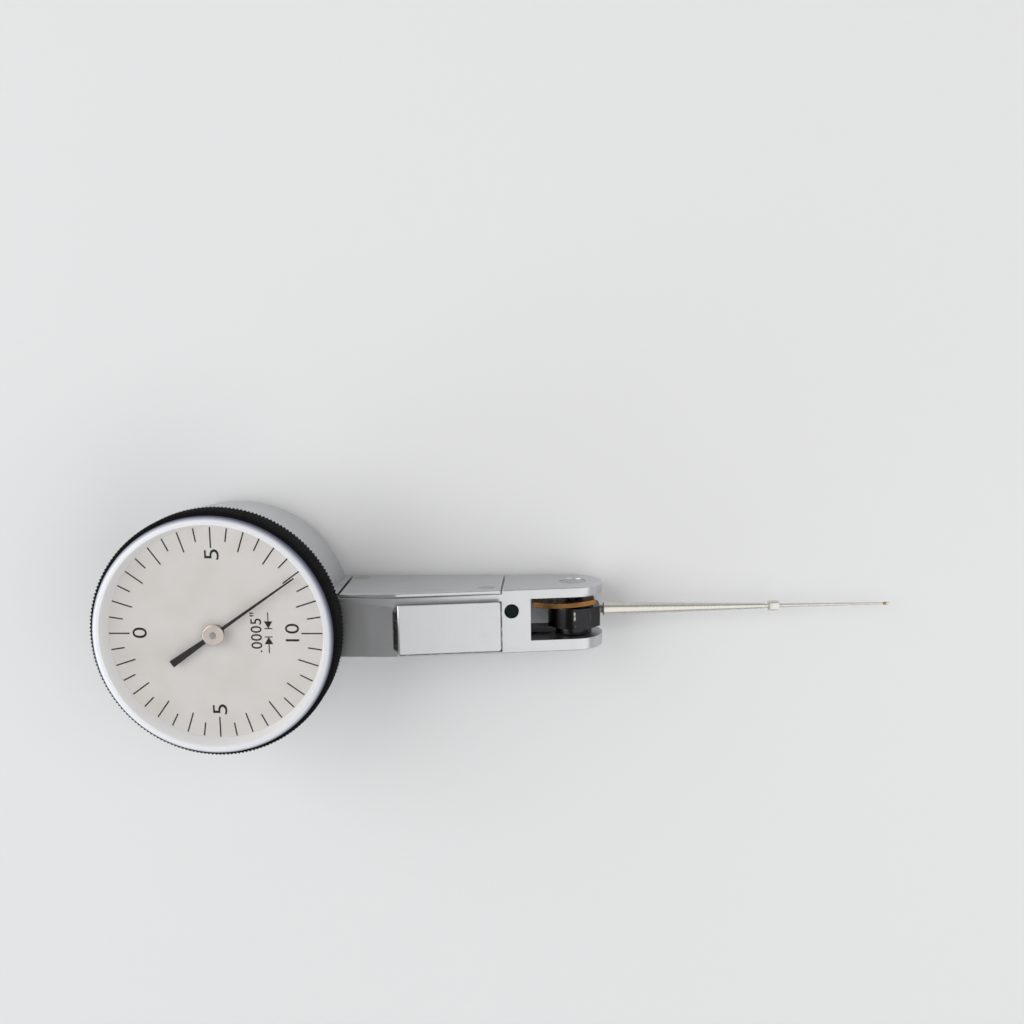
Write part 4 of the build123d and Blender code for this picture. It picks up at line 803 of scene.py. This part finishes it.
bmesh.ops.create_uvsphere(ball, u_segments=32, v_segments=20, radius=BALL_RADIUS * MM)
ball.transform(stylus_place @ Matrix.Translation((0, 0, BALL_CENTRE * MM)))
keep("ball", ball, ball_steel, "stylus", ["contact_ball"])

# Studio. A pale floor, a wide soft box over the sloping front, two smaller ones at
# the dial's left, a sky that is pale at the horizon and dark above, and a camera
# where the photograph's was. Floor and lamps are given in metres.
FLOOR_SIZE = 1.5
FLOOR_GAP = 0.00002
FLOOR_WHITE = (0.82, 0.82, 0.82, 1)
WHITE_LIGHT = (1, 1, 1)
BLUE_LIGHT = (0.86, 0.93, 1)
FRONT_POINT = (0.44, -0.08, 0)
DIAL_POINT = (0, 0, 0.013)
SKY_LOW = (0.72, 0.73, 0.75, 1)
SKY_HIGH = (0.18, 0.18, 0.18, 1)
SKY_TOP = 0.75
CAMERA_TURN = (-9.68, 2.869, -0.839)
CAMERA_FROM_DIAL = (39.624, 34.88, 126.666)
SENSOR_WIDTH = 36
FOCAL_LENGTH = 42.1875
CLIP_START = 0.005
CLIP_END = 10
floor_bm = bmesh.new()
bmesh.ops.create_grid(floor_bm, x_segments=1, y_segments=1, size=FLOOR_SIZE)
bmesh.ops.translate(floor_bm, verts=floor_bm.verts, vec=(0, 0, -FLOOR_GAP))
floor_mesh = bpy.data.meshes.new("floor")
floor_bm.to_mesh(floor_mesh)
floor_bm.free()
floor_paint = new_material("floor_paint", 0.0, Roughness=0.9, Base_Color=FLOOR_WHITE)[0]
floor_mesh.materials.append(floor_paint)
floor = bpy.data.objects.new("floor", floor_mesh)
bpy.context.scene.collection.objects.link(floor)


def soft_box(name, place, aim, size, brightness, colour):
    """A square area lamp at a place that faces a point, as bright as white times brightness."""
    data = bpy.data.lights.new(name, "AREA")
    data.shape = "SQUARE"
    data.size = size
    data.energy = brightness * math.pi * size ** 2
    data.color = colour
    made = bpy.data.objects.new(name, data)
    bpy.context.scene.collection.objects.link(made)
    made.location = place
    made.rotation_euler = (Vector(place) - Vector(aim)).to_track_quat("Z", "Y").to_euler()


soft_box("front_box", (0.44, -0.08, 0.4), FRONT_POINT, 0.8, 1.1, WHITE_LIGHT)
soft_box("dial_box", (-0.375, 0.125, 0.31), DIAL_POINT, 0.5, 2.1, WHITE_LIGHT)
soft_box("left_box", (-0.4, -0.18, 0.075), DIAL_POINT, 0.2, 4.5, BLUE_LIGHT)

world = bpy.data.worlds.new("studio")
bpy.context.scene.world = world
world.use_nodes = True
tree = world.node_tree
tree.nodes.clear()
towards = add_node(tree, "TexCoord").outputs["Generated"]
up = add_node(tree, "SeparateXYZ", {0: towards}).outputs["Z"]
sky = blend(tree, ramp(tree, up, 0, SKY_TOP), SKY_LOW, SKY_HIGH)
light = add_node(tree, "Background", {"Color": sky, "Strength": 1}).outputs[0]
add_node(tree, "OutputWorld", {"Surface": light})

lens = bpy.data.cameras.new("photo_camera")
lens.sensor_width = SENSOR_WIDTH
lens.lens = FOCAL_LENGTH
lens.clip_start = CLIP_START
lens.clip_end = CLIP_END
camera = bpy.data.objects.new("photo_camera", lens)
bpy.context.scene.collection.objects.link(camera)
camera.rotation_euler = Euler([math.radians(a) for a in CAMERA_TURN], "XYZ")
camera.location = (Vector((0, 0, DIAL_Z)) + Vector(CAMERA_FROM_DIAL)) * MM
bpy.context.scene.camera = camera
bpy.context.scene.view_settings.view_transform = "Standard"
